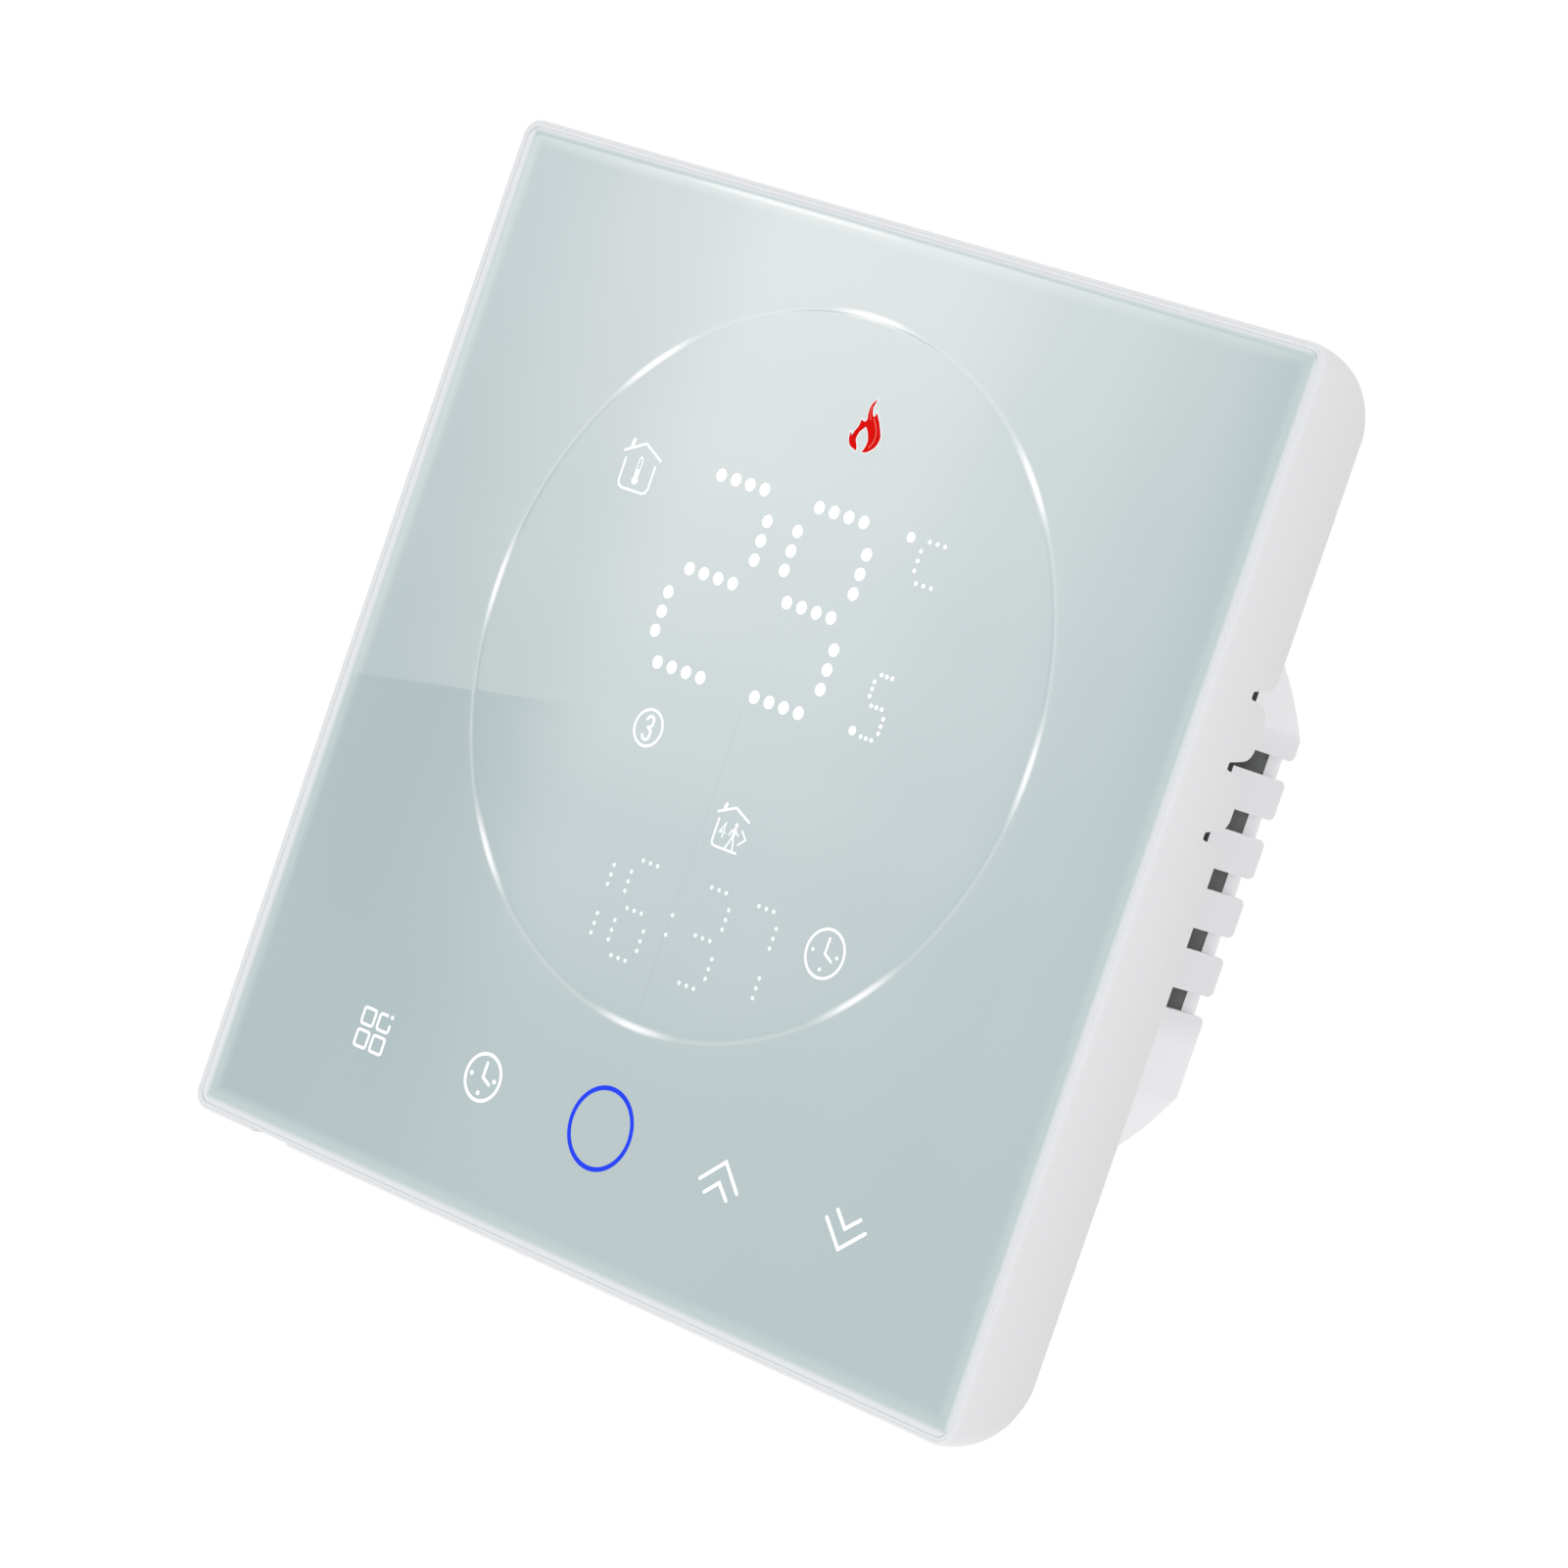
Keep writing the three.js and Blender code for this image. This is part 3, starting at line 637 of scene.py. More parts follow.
def housing_shell():
    """Square white moulding with a fine rounded lip and sides that curve in toward the wall."""
    section = [(42.4, -12.9), (42.4, -13.19), (42.44, -13.25), (42.5, -13.285), (42.57, FRONT_Y),
               (42.65, -13.295), (42.7, -13.245), (42.75, -13.286), (42.81, -13.274), (42.88, -13.23),
               (42.94, -13.17), (42.985, -13.05), (42.995, -12.9)]
    y = -12.6
    while y < -0.5:
        section.append((side_half(y), y))
        y += 0.6
    section = [spot for spot in section if spot[1] < -1.3]
    rear_edge = ((0.0, -1.1), (0.05, -0.75), (0.16, -0.4), (0.32, -0.12), (0.46, 0.0), (1.32, 0.0))
    section += [(side_half(y) - d, y) for d, y in rear_edge]
    section.append((side_half(0) - SHELL_WALL, -0.12))
    section += [(side_half(y) - SHELL_WALL, y) for y in range(-1, -10, -1)]
    section += [(41.0, -9.8), (40.0, -9.8), (40.0, -11.0), (42.4, -11.0), (42.4, -12.0)]
    rings = []
    for u, y in section:
        outer = max(side_half(y), u)
        rings.append((y, square_outline(u, CORNER_R - (outer - u) if outer - u < 1.4 else 0.6, 24, 8)))
    shell = rings_piece("housing_shell", rings, shell_white, closed=True)
    notch = [(-7.1, 0.08), (-7.1, -0.26), (-7.0, -0.38), (-6.4, -0.44), (-5.7, -0.47), (-4.4, -0.57),
             (-3.6, -0.7), (-3.0, -0.84), (-2.3, -1.02), (-1.6, -1.22), (-0.6, -1.6), (0.5, -2.1),
             (0.5, 2.3), (0.0, 1.95), (-1.0, 1.5), (-1.9, 1.08), (-2.6, 0.83), (-3.4, 0.66), (-4.6, 0.5),
             (-6.4, 0.3), (-7.0, 0.22)]
    tools = [bar_yz([(y, z + dz) for y, dz in notch], 36.0, 44.0) for z in NOTCH_AT]
    pry_recess = box_outline(-35.6, -31.2, -44.0, -42.72, 0.12, 3)
    tools.append(bar_xz(pry_recess, -14.0, -9.5))
    carve(shell, tools)
    corners = [(sx, sz) for sx in (-1, 1) for sz in (-1, 1)]
    for sx, sz in corners:
        gusset = box_outline(*sorted((sx * 31.5, sx * 41.3)), *sorted((sz * 31.5, sz * 41.3)), 0.8)
        carve(shell, [bar_xz(gusset, -11.0, -9.8)], "UNION")
    posts = [(sx * POST_AT, sz * POST_AT) for sx, sz in corners]
    carve(shell, [bar_xz(circle(x, z, 2.5), -9.9, -7.0) for x, z in posts], "UNION")
    carve(shell, [bar_xz(circle(x, z, 0.85, 20), -10.2, -6.0) for x, z in posts])
    tidy_mesh(shell, 40.0)
    even = shell.modifiers.new("even_faces", "WEIGHTED_NORMAL")
    even.keep_sharp = True
    even.weight = 70
    seat_piece(shell, "front", "white_plastic", "front_housing")


def touch_glass():
    """Glass with a ground and rounded edge and one fine engraved ring."""
    half, radius, ease_r = 42.45, 1.2, 30.4
    edge = [(d, FACE_Y + sink) for d, sink in ((0.36, 0.0), (0.26, 0.002), (0.17, 0.012), (0.09, 0.034),
                                               (0.04, 0.066), (0.01, 0.11), (0.0, 0.17))]
    edge += [(0.0, -11.42), (0.12, -11.3)]
    outer = [(y, square_outline(half - d, radius - d * 0.7, 44, 8)) for d, y in edge]
    base = outer[0][1]
    cx, cz = RING_AT
    angles = [atan2(z - cz, x - cx) for x, z in base]
    rings = []
    for r, sink in ((6.0, 0), (14.0, 0), (22.0, 0), (27.6, 0), (28.8, 0), (28.98, 0.001), (29.08, 0.004),
                    (RING_R, 0.0055), (29.28, 0.004), (29.38, 0.001), (29.56, 0), (ease_r, 0)):
        rings.append((FACE_Y + sink, [(cx + r * cos(a), cz + r * sin(a)) for a in angles]))
    spread = []
    for k in (0.2, 0.45, 0.7, 0.9, 0.98):
        spread.append((FACE_Y, [((cx + ease_r * cos(a)) * (1 - k) + x * k,
                                 (cz + ease_r * sin(a)) * (1 - k) + z * k)
                                for a, (x, z) in zip(angles, base)]))
    points, faces = skin_rings(rings + spread + outer, capped=False)
    count = len(base)
    middle = len(points)
    points.append((cx, FACE_Y, cz))
    faces += [(middle, (i + 1) % count, i) for i in range(count)]
    last = (len(rings) + len(spread) + len(outer) - 1) * count
    faces.append(tuple(range(last, last + count)))
    panel = tidy_mesh(mesh_of("touch_glass", points, faces, glass), 60.0)
    seat_piece(panel, "front", "tinted_glass", "glass_panel")


housing_shell()
touch_glass()


# ---------- lit marks on the glass

class Ink:
    """Collects thin raised marks on the glass face, in face millimetres."""

    def __init__(self, lift=0.0):
        self.points, self.faces = [], []
        self.base = FACE_Y + 0.004
        self.crown = INK_Y - lift

    def step_up(self):
        """Strokes that cross lie one over the other, as printed."""
        self.crown = max(self.crown - 0.0014, FRONT_Y + 0.004)

    def take(self, points, faces):
        start = len(self.points)
        self.points += points
        self.faces += [tuple(start + i for i in face) for face in faces]

    def dot(self, x, z, r, steps=20):
        heights = ((1.0, self.base), (0.985, self.crown + 0.006), (0.8, self.crown))
        rings = [(y, circle(x, z, r * scale, steps)) for scale, y in heights]
        points, faces = skin_rings(rings, capped=False)
        self.take(points, faces + [tuple(range(2 * steps, 3 * steps))])

    def dots(self, places, r):
        for x, z in places:
            self.dot(x, z, r)

    def strip(self, path, width, closed=False):
        """Line of even width with round ends, along (x, z) points."""
        self.step_up()
        half = width / 2
        path = [Vector(p) for p in path]
        stations = []
        count = len(path)
        for i, p in enumerate(path):
            before = path[i - 1] if i > 0 or closed else None
            after = path[(i + 1) % count] if i < count - 1 or closed else None
            ways = [(p - before).normalized()] if before is not None else []
            ways += [(after - p).normalized()] if after is not None else []
            along = sum(ways, Vector((0.0, 0.0))).normalized()
            side = Vector((-along.y, along.x))
            grow = 1.0 / max(0.45, side.dot(Vector((-ways[0].y, ways[0].x))))
            stations.append((p, side, half * grow))
        if not closed:
            caps = ((1.0, 0.08), (0.87, 0.5), (0.5, 0.87))
            first, last = path[0], path[-1]
            start_way = (first - path[1]).normalized()
            end_way = (last - path[-2]).normalized()
            head = [(first + start_way * half * k, stations[0][1], half * w) for k, w in caps]
            tail = [(last + end_way * half * k, stations[-1][1], half * w) for k, w in reversed(caps)]
            stations = head + stations + tail
        points, faces = [], []
        for p, side, reach in stations:
            for k, y in ((-1.0, self.base), (-0.8, self.crown), (0.8, self.crown), (1.0, self.base)):
                q = p + side * (reach * k)
                points.append((q.x, y, q.y))
        total = len(stations)
        for i in range(total if closed else total - 1):
            a, b = 4 * i, 4 * ((i + 1) % total)
            faces += [(a + k, a + k + 1, b + k + 1, b + k) for k in range(3)]
        self.take(points, faces)

    def loop(self, x, z, r, width, steps=48):
        self.strip(circle(x, z, r, steps), width, closed=True)

    def patch(self, outline):
        """Flat filled shape."""
        shape = bmesh.new()
        corners = [shape.verts.new((x, self.crown, z)) for x, z in outline]
        for i, corner in enumerate(corners):
            shape.edges.new((corner, corners[(i + 1) % len(corners)]))
        bmesh.ops.triangle_fill(shape, use_beauty=True, edges=shape.edges[:])
        shape.verts.index_update()
        faces = []
        for face in shape.faces:
            order = [v.index for v in face.verts]
            faces.append(tuple(order if face.normal.y < 0 else reversed(order)))
        self.take([tuple(v.co) for v in shape.verts], faces)
        shape.free()

    def piece(self, name, material):
        def face_the_room(shape):
            for face in shape.faces:
                face.normal_update()
                if face.normal.y > 0.02:
                    face.normal_flip()
        made = mesh_of(name, self.points, self.faces, material)
        reshape(made, face_the_room)
        made.data.set_sharp_from_angle(angle=radians(30))
        seat_piece(made, "front", "film")


def mark(name, material, *strokes):
    """One piece of ink. Each stroke is a width and its points; a single point is a dot of that radius."""
    ink = Ink()
    for size, *path in strokes:
        if len(path) == 1:
            ink.dot(*path[0], size)
        else:
            ink.strip(path, size)
    ink.piece(name, material)


# the bars that each figure lights: top, upper left and right, middle, lower left and right, bottom
BARS = {"1": "..r..R.", "2": "t.rmL.b", "3": "t.rm.Rb", "6": "tl.mLRb", "7": "t.r..R.", "9": "tlrm.Rb"}


def figure_dots(figure, x, reach, rows, flat_steps, upright):
    """Dots of a seven-bar figure: rows at top, middle and bottom, upright dots above and below the middle."""
    places = []
    for flag, level in zip((0, 3, 6), rows):
        if BARS[figure][flag] != ".":
            places += [(x + dx, level) for dx in flat_steps]
    for flag, side, half in ((1, -1, 0), (2, 1, 0), (4, -1, 1), (5, 1, 1)):
        if BARS[figure][flag] != ".":
            places += [(x + side * reach, level) for level in upright[half]]
    return places


def temperature_figures():
    ink = Ink()
    rows = (20.0, 12.2, 4.41)
    steps = (-2.41, -0.8, 0.8, 2.41)
    heights = ((17.7, 16.1, 14.5), (9.92, 8.3, 6.71))
    ink.dots(figure_dots("2", -7.4, 3.75, rows, steps, heights), 0.54)
    ink.dots(figure_dots("9", 3.42, 3.75, rows, steps, heights), 0.54)
    ink.piece("temperature_figures", ink_white)
    small = Ink()
    small.dot(10.85, 20.05, 0.42)
    small.dots([(x, z) for z in (20.17, 16.82) for x in (12.81, 13.61, 14.41)], 0.18)
    small.dots([(12.26, z) for z in (19.28, 18.5, 17.7)], 0.18)
    small.dot(11.6, 4.57, 0.37)
    small.dots([(x, z) for z in (9.34, 6.85, 4.36) for x in (12.58, 13.13, 13.7)], 0.18)
    small.dots([(12.11, z) for z in (8.67, 8.1, 7.52)], 0.18)
    small.dots([(14.15, z) for z in (6.19, 5.6, 5.02)], 0.18)
    small.piece("unit_and_tenths", ink_white)


def time_figures():
    ink = Ink()
    rows = (-10.61, -14.55, -18.46)
    heights = ((-11.77, -12.57, -13.36), (-15.79, -16.6, -17.4))
    for figure, x in (("1", -8.79), ("6", -3.6), ("3", 4.05), ("7", 9.24)):
        ink.dots(figure_dots(figure, x, 1.61, rows, (-0.8, 0.0, 0.8), heights), 0.185)
    ink.dots([(0.33, -13.75), (0.33, -15.37)], 0.185)
    ink.piece("time_figures", ink_dim)


def bend(points, steps=7):
    """Smooth curve through points."""
    path = [Vector(p) for p in points]
    out = []
    for i in range(len(path) - 1):
        p0, p1 = path[max(i - 1, 0)], path[i]
        p2, p3 = path[i + 1], path[min(i + 2, len(path) - 1)]
        for k in range(steps):
            t = k / steps
            out.append(0.5 * (2 * p1 + (p2 - p0) * t + (2 * p0 - 5 * p1 + 4 * p2 - p3) * t * t
                              + (3 * p1 - p0 - 3 * p2 + p3) * t ** 3))
    return [tuple(p) for p in out] + [tuple(path[-1])]


def flame_sign():
    """Heating sign: a flame with three tongues and an open heart."""
    ink = Ink()
    left = bend([(2.65, 25.08), (1.9, 25.33), (1.57, 25.83), (1.52, 26.37)], 4)
    left += bend([(1.75, 26.1), (1.87, 26.5), (2.12, 27.0), (2.16, 27.52)], 4)
    left += bend([(2.55, 27.42), (2.74, 27.65), (2.66, 28.0), (2.62, 28.6), (2.82, 29.08), (3.1, 29.33)], 4)
    right = bend([(2.93, 28.68), (3.1, 28.17), (3.34, 28.0), (3.46, 28.37)], 4)
    right += bend([(3.98, 27.75), (4.48, 26.92), (4.62, 26.42), (4.4, 25.75), (3.73, 25.2), (3.27, 25.12)], 4)
    heart = bend([(3.27, 25.16), (3.42, 25.5), (3.49, 26.08), (3.17, 26.75), (2.84, 27.08)], 4)
    heart += bend([(2.4, 26.58), (2.27, 25.97), (2.55, 25.5), (2.66, 25.16)], 4)
    ink.patch(left + right + heart)
    ink.piece("flame_sign", ink_red)
    rim = Ink(lift=-0.012)
    rim.strip(left + right + heart, 0.2, closed=True)
    rim.piece("flame_rim", ink_dim)
    streak = Ink(lift=0.004)
    streak.strip(bend([(3.4, 27.85), (3.84, 27.28), (4.1, 26.67), (4.06, 26.05), (3.8, 25.6)], 5), 0.09)
    streak.strip(bend([(2.72, 28.9), (2.86, 28.2), (3.1, 27.7)], 5), 0.06)
    streak.piece("flame_streaks", ink_rose)


def room_sign():
    """House outline with a thermometer: measured room value."""
    mark("room_sign", ink_soft,
         (0.23, (-20.58, 19.5), (-18.52, 20.5), (-16.48, 19.51)),
         (0.36, (-19.88, 20.5), (-19.95, 20.05)),
         (0.23, (-20.18, 18.9), (-20.18, 17.1), (-20.03, 16.75), (-19.7, 16.58), (-17.34, 16.58),
          (-16.98, 16.75), (-16.84, 17.1), (-16.84, 18.9)),
         (0.36, (-18.5, 17.42)),
         (0.34, (-18.5, 17.5), (-18.5, 18.2)),
         (0.13, (-18.69, 17.8), (-18.69, 19.14), (-18.61, 19.3), (-18.5, 19.35), (-18.39, 19.3),
          (-18.31, 19.14), (-18.31, 17.8)))


def period_sign():
    """Circled 3: the third daily period."""
    ink = Ink()
    x, z = -8.47, -0.7
    ink.loop(x, z, 1.47, 0.25)
    upper = ((-0.38, 0.64), (-0.22, 0.86), (0.02, 0.92), (0.26, 0.83), (0.35, 0.56), (0.28, 0.2),
             (-0.04, 0.03))
    lower = ((-0.04, 0.03), (0.28, -0.14), (0.37, -0.5), (0.27, -0.85), (0.02, -0.97), (-0.24, -0.9),
             (-0.4, -0.68))
    for bow in (upper, lower):
        ink.strip(bend([(x + dx, z + dz) for dx, dz in bow], 4), 0.27)
    ink.piece("period_sign", ink_soft)


def away_sign():
    """House with a 4, a walker and an arrow: leaving home."""
    mark("away_sign", ink_soft,
         (0.22, (1.34, -4.87), (3.0, -4.14), (4.72, -4.88)),
         (0.36, (1.94, -4.14), (1.88, -4.6)),
         (0.21, (1.66, -5.38), (1.66, -7.2), (1.8, -7.42), (2.05, -7.5), (4.42, -7.5)),
         (0.16, (2.52, -6.65), (2.52, -5.5), (2.12, -6.3), (2.7, -6.3)),
         (0.18, (3.62, -5.4)),
         (0.34, (3.6, -5.75), (3.58, -6.35)),
         (0.15, (3.52, -5.78), (3.25, -6.0), (3.14, -6.3)),
         (0.15, (3.68, -5.78), (3.92, -6.05), (4.12, -6.15)),
         (0.17, (3.52, -6.4), (3.4, -6.85), (3.18, -7.35)),
         (0.17, (3.64, -6.4), (3.84, -6.85), (3.94, -7.35)),
         (0.17, (4.36, -5.68), (4.5, -5.84), (4.94, -6.24), (4.5, -6.66), (4.36, -6.82)))


def clock_mark(name, x, z, r, width, up, side, low, dot_r, dot_at, material):
    """Clock face with two hands and three hour dots."""
    ink = Ink()
    ink.loop(x, z, r, width)
    ink.strip([(x, z + up), (x, z), (x + side, z + low)], width)
    ink.dots([(x - dot_at, z), (x + dot_at, z), (x, z - dot_at)], dot_r)
    ink.piece(name, material)


def key_marks():
    """The five touch marks along the bottom."""
    half = 0.675
    menu = Ink()
    for x, z in ((-27.07, -30.53), (-27.07, -32.4), (-25.21, -32.4)):
        menu.strip(box_outline(x - half, x + half, z - half, z + half, 0.2, 3), 0.25, closed=True)
    x, z = -25.21, -30.53
    open_square = ((half, -0.1), (half, -0.475), (0.6, -0.62), (0.475, -half), (-0.475, -half), (-0.62, -0.6),
                   (-half, -0.475), (-half, 0.475), (-0.6, 0.62), (-0.475, half), (0.1, half))
    menu.strip([(x + dx, z + dz) for dx, dz in open_square], 0.25)
    menu.dot(-24.53, -29.87, 0.17)
    menu.piece("menu_mark", ink_white)
    clock_mark("clock_key_mark", -13.08, -31.35, 1.9, 0.28, 1.2, 0.85, -0.38, 0.19, 1.3, ink_white)
    ring = Ink()
    ring.loop(0.44, -31.36, 3.23, 0.4, 72)
    ring.piece("power_key_ring", ink_blue)
    mark("up_mark", ink_white,
         (0.31, (11.75, -31.78), (13.73, -29.84), (15.74, -31.78)),
         (0.31, (12.6, -32.62), (13.73, -31.53), (14.95, -32.6)))
    mark("down_mark", ink_white,
         (0.31, (24.9, -30.65), (26.91, -32.55), (28.94, -30.65)),
         (0.31, (25.69, -29.79), (26.91, -30.92), (28.11, -29.83)))


temperature_figures()
time_figures()
flame_sign()
room_sign()
period_sign()
away_sign()
clock_mark("clock_sign", 16.27, -12.16, 1.92, 0.25, 1.22, 0.82, -0.42, 0.16, 1.27, ink_soft)
key_marks()


# ---------- rear box

SLOT_AT = (12.35, 7.4, 2.45, -2.5, -7.45)   # heights of the five slots in each flat
BOX_R, BOX_FLAT = 30.0, 26.0
BOARD_BACK = 8.6                            # rear face of the power board, where bosses and parts stand
BOSS_TOP = 20.9
EJECTOR_AT = ((-21, 3), (21, 3), (-12, -6), (12, -6), (0, 23))


def drum_tool(*stations):
    """Cutting or joining solid in the box's own outline: (y, radius, flat) stations."""
    return rings_piece("tool", [(y, drum_outline(r, flat)) for y, r, flat in stations], None, 40.0)


def rear_drum():
    """Round box with two flats: five open slots in each flat, round-cornered fins, terminal pocket."""
    quarter_turn = [i * pi / 12 for i in range(7)]   # the angles of a rounded edge
    edge_r, fin_r, slot_half = 0.18, 0.8, 0.85
    stations = [(y, 0.0) for y in (-1.6, -1.55, 3, 8, 13, 18)]
    stations += [(22.12 + edge_r * sin(t), edge_r * (1 - cos(t))) for t in quarter_turn]
    rings = [(y, drum_outline(BOX_R - d, BOX_FLAT - d)) for y, d in stations]
    drum = rings_piece("rear_drum", rings, box_white, 40.0)
    flange = ((-2.0, 0.15), (-1.9, 0.03), (-1.8, 0.0), (-1.1, 0.0), (-1.0, 0.1))
    carve(drum, [drum_tool(*[(y, 34.2 - d, BOX_FLAT - d * 0.5) for y, d in flange])], "UNION")
    carve(drum, [drum_tool((-3.0, 28.7, 24.8), (20.5, 28.7, 24.8), (20.8, 28.4, 24.5))])

    wall_r, side, top = 29.5, 18.0, -11.0
    corner = -sqrt(wall_r ** 2 - side ** 2)
    wall = sorted((x, z) for x, z in drum_outline(wall_r, BOX_FLAT) if z < top and abs(x) < side)
    pocket = [(-side, top), (-side, corner)] + wall + [(side, corner), (side, top)]
    bosses = [bar_xz(outline, BOARD_BACK, BOSS_TOP)
              for outline in [pocket] + [circle(x, 19.5, 2.5) for x in (-17, 17)]]
    carve(drum, bosses, "UNION")

    tools = [bar_xz(circle(x, 19.5, 0.85, 20), 7.0, 15.0) for x in (-17, 17)]
    tools.append(bar_xz(box_outline(-16.6, 16.6, -32.0, -12.2, 0.5), 10.2, 23.5))
    tools.append(bar_xz(box_outline(-14.0, 14.0, -19.4, -17.6), 7.6, 11.2))
    flare = [(21.5 + fin_r * sin(t), slot_half + fin_r * (1 - cos(t))) for t in quarter_turn]
    upper = [(3.0, slot_half)] + flare + [(23.6, 1.65)]
    slot = [(3.0, -slot_half)] + upper + [(y, -dz) for y, dz in reversed(upper[1:])]
    for z in SLOT_AT:
        for way in (-1, 1):
            tools.append(bar_yz([(y, z + dz) for y, dz in slot], *sorted((way * 24.8, way * 27.0))))
    for deg in (60, 120, 240, 300):
        x, z = 32.4 * cos(radians(deg)), 32.4 * sin(radians(deg))
        tools.append(bar_xz(circle(x, z, 1.3, 28), -2.4, -1.2))
        tools.append(bar_xz(circle(x, z, 1.05, 24), -1.4, -0.5))
    blank_panel = box_outline(-17.0, 17.0, 0.5, 17.0, 1.5, 5)
    tools.append(bar_xz(blank_panel, 22.16, 23.0))
    tools += [bar_xz(circle(x, z, 1.5, 28), 22.2, 23.0) for x, z in EJECTOR_AT]
    carve(drum, tools)
    tidy_mesh(drum, 35.0)
    round_edges(drum, 0.14, 40.0, 2)
    seat_piece(drum, "base", "white_plastic", "rear_box")


rear_drum()


# ---------- parts kept from the CAD

def dress(material, width, *names, segments=2):
    """A better finish and softened edges on parts whose form is right."""
    for name in names:
        node = nodes[name]
        node.data.materials.clear()
        node.data.materials.append(material)
        for polygon in node.data.polygons:
            polygon.use_smooth = True
        join = node.modifiers.new("join", "WELD")
        join.merge_threshold = 0.000004
        flat = node.modifiers.new("flat_faces", "DECIMATE")
        flat.decimate_type = "DISSOLVE"
        flat.angle_limit = radians(2.5)
        round_edges(node, width, 34.0, segments)


def numbered(name, count):
    return [f"{name}_{i}" for i in range(1, count + 1)]


dress(foam_black, 0.05, "panel_adhesive")
dress(film_frost, 0.03, "diffuser_film")
dress(mask_grey, 0.08, "light_mask")
dress(display_green, 0.06, "display_board")
dress(cover_white, 0.14, "inner_cover")
dress(screw_zinc, 0.12, *numbered("front_screw", 4))
dress(chip_black, 0.12, "microcontroller", "touch_controller")
dress(cell_steel, 0.3, "clock_crystal", segments=3)
dress(socket_black, 0.15, "cell_holder")
dress(cell_steel, 0.25, "backup_cell", segments=3)
dress(varistor_blue, 0.3, "air_sensor", segments=3)
dress(zinc, 0.12, "mounting_plate")
dress(screw_zinc, 0.06, *numbered("box_screw", 4))
dress(screw_zinc, 0.14, *numbered("board_screw", 2))
dress(power_green, 0.06, "power_board")
dress(socket_black, 0.1, "board_socket")
dress(relay_blue, 0.45, "relay", segments=3)
dress(ferrite_grey, 0.25, "transformer_core")
dress(tape, 0.4, "transformer_winding", segments=3)
dress(socket_black, 0.35, "fuse", segments=3)
dress(block_green, 0.16, "terminal_block")
dress(screw_zinc, 0.14, *numbered("terminal_screw", 6))
dress(clamp_brass, 0.1, *numbered("wire_clamp", 6))


# ---------- finer inner parts

class Build:
    """Collects closed shapes with their finishes into one piece."""

    def __init__(self, *materials):
        self.materials = materials
        self.points, self.faces, self.finish = [], [], []

    def take(self, points, faces, finish):
        start = len(self.points)
        self.points += points
        self.faces += [tuple(start + i for i in face) for face in faces]
        self.finish += [finish] * len(faces)

    def turned(self, x, z, profile, finish=0, steps=28, along="y", offset=0.0):
        """Turned shape: profile of (distance along, radius), about an axis through (x, z) or across X."""
        points = [(u, d, v) if along == "y" else (d, u, v)
                  for d, r in profile for u, v in circle(x if along == "y" else offset, z, r, steps)]
        self.take(points, ring_faces(len(profile), steps), finish)

    def brick(self, x0, x1, y0, y1, z0, z1, finish=0, ease=0.08):
        """Block with eased edges."""
        outline = box_outline(x0, x1, z0, z1, ease, 2)
        inner = box_outline(x0 + ease, x1 - ease, z0 + ease, z1 - ease, ease * 0.2, 2)
        points, faces = skin_rings([(y0, inner), (y0 + ease, outline), (y1 - ease, outline), (y1, inner)])
        self.take(points, faces, finish)

    def piece(self, name, body, slot, *stands_for):
        made = mesh_of(name, self.points, self.faces, None)
        for material in self.materials:
            made.data.materials.append(material)
        for polygon, finish in zip(made.data.polygons, self.finish):
            polygon.material_index = finish
        reshape(made, lambda shape: bmesh.ops.recalc_face_normals(shape, faces=shape.faces))
        made.data.set_sharp_from_angle(angle=radians(38.0))
        seat_piece(made, body, slot, *stands_for)


KEYS = (("menu", -26.2), ("clock", -13.0), ("power", 0.5), ("up", 13.8), ("down", 27.1))
KEY_Z = -31.4


def touch_coils():
    """Flat-ended wire coils that press between the board and the glass."""
    wire, turns, reach, steps, sides = 0.22, 4, 3.8, 132, 10
    board_end, rise = -7.25, 3.78
    for key, x in KEYS:
        build = Build(spring_nickel)
        points = []
        for i in range(steps + 1):
            t = i / steps
            a = t * turns * 2 * pi
            ease = min(1.0, max(0.0, (t - 0.14) / 0.72))
            outward = Vector((cos(a), 0.0, sin(a)))
            centre = Vector((x, board_end - rise * ease, KEY_Z)) + reach * outward
            for u, v in circle(0.0, 0.0, wire, sides):
                points.append(tuple(centre + outward * u + Vector((0, v, 0))))
        build.take(points, ring_faces(steps + 1, sides), 0)
        build.piece(f"touch_coil_{key}", "front", "steel", f"touch_spring_{key}")


def link_header():
    """Pin strip between the boards: moulded base and square gilt pins with tapered tips."""
    build = Build(socket_black, pin_brass)
    for row in (-1, 1):
        build.brick(-5.1, 5.1, -5.4, -2.9, -9 + row * 1.27 - 1.25, -9 + row * 1.27 + 1.25, 0, 0.18)
    for x in (-3.81, -1.27, 1.27, 3.81):
        for z in (-10.27, -7.73):
            rings = [(y, box_outline(x - r, x + r, z - r, z + r))
                     for y, r in ((-3.1, 0.32), (3.1, 0.32), (3.6, 0.16))]
            build.take(*skin_rings(rings), 1)
    build.piece("link_header", "front", "brass", "header_pins")


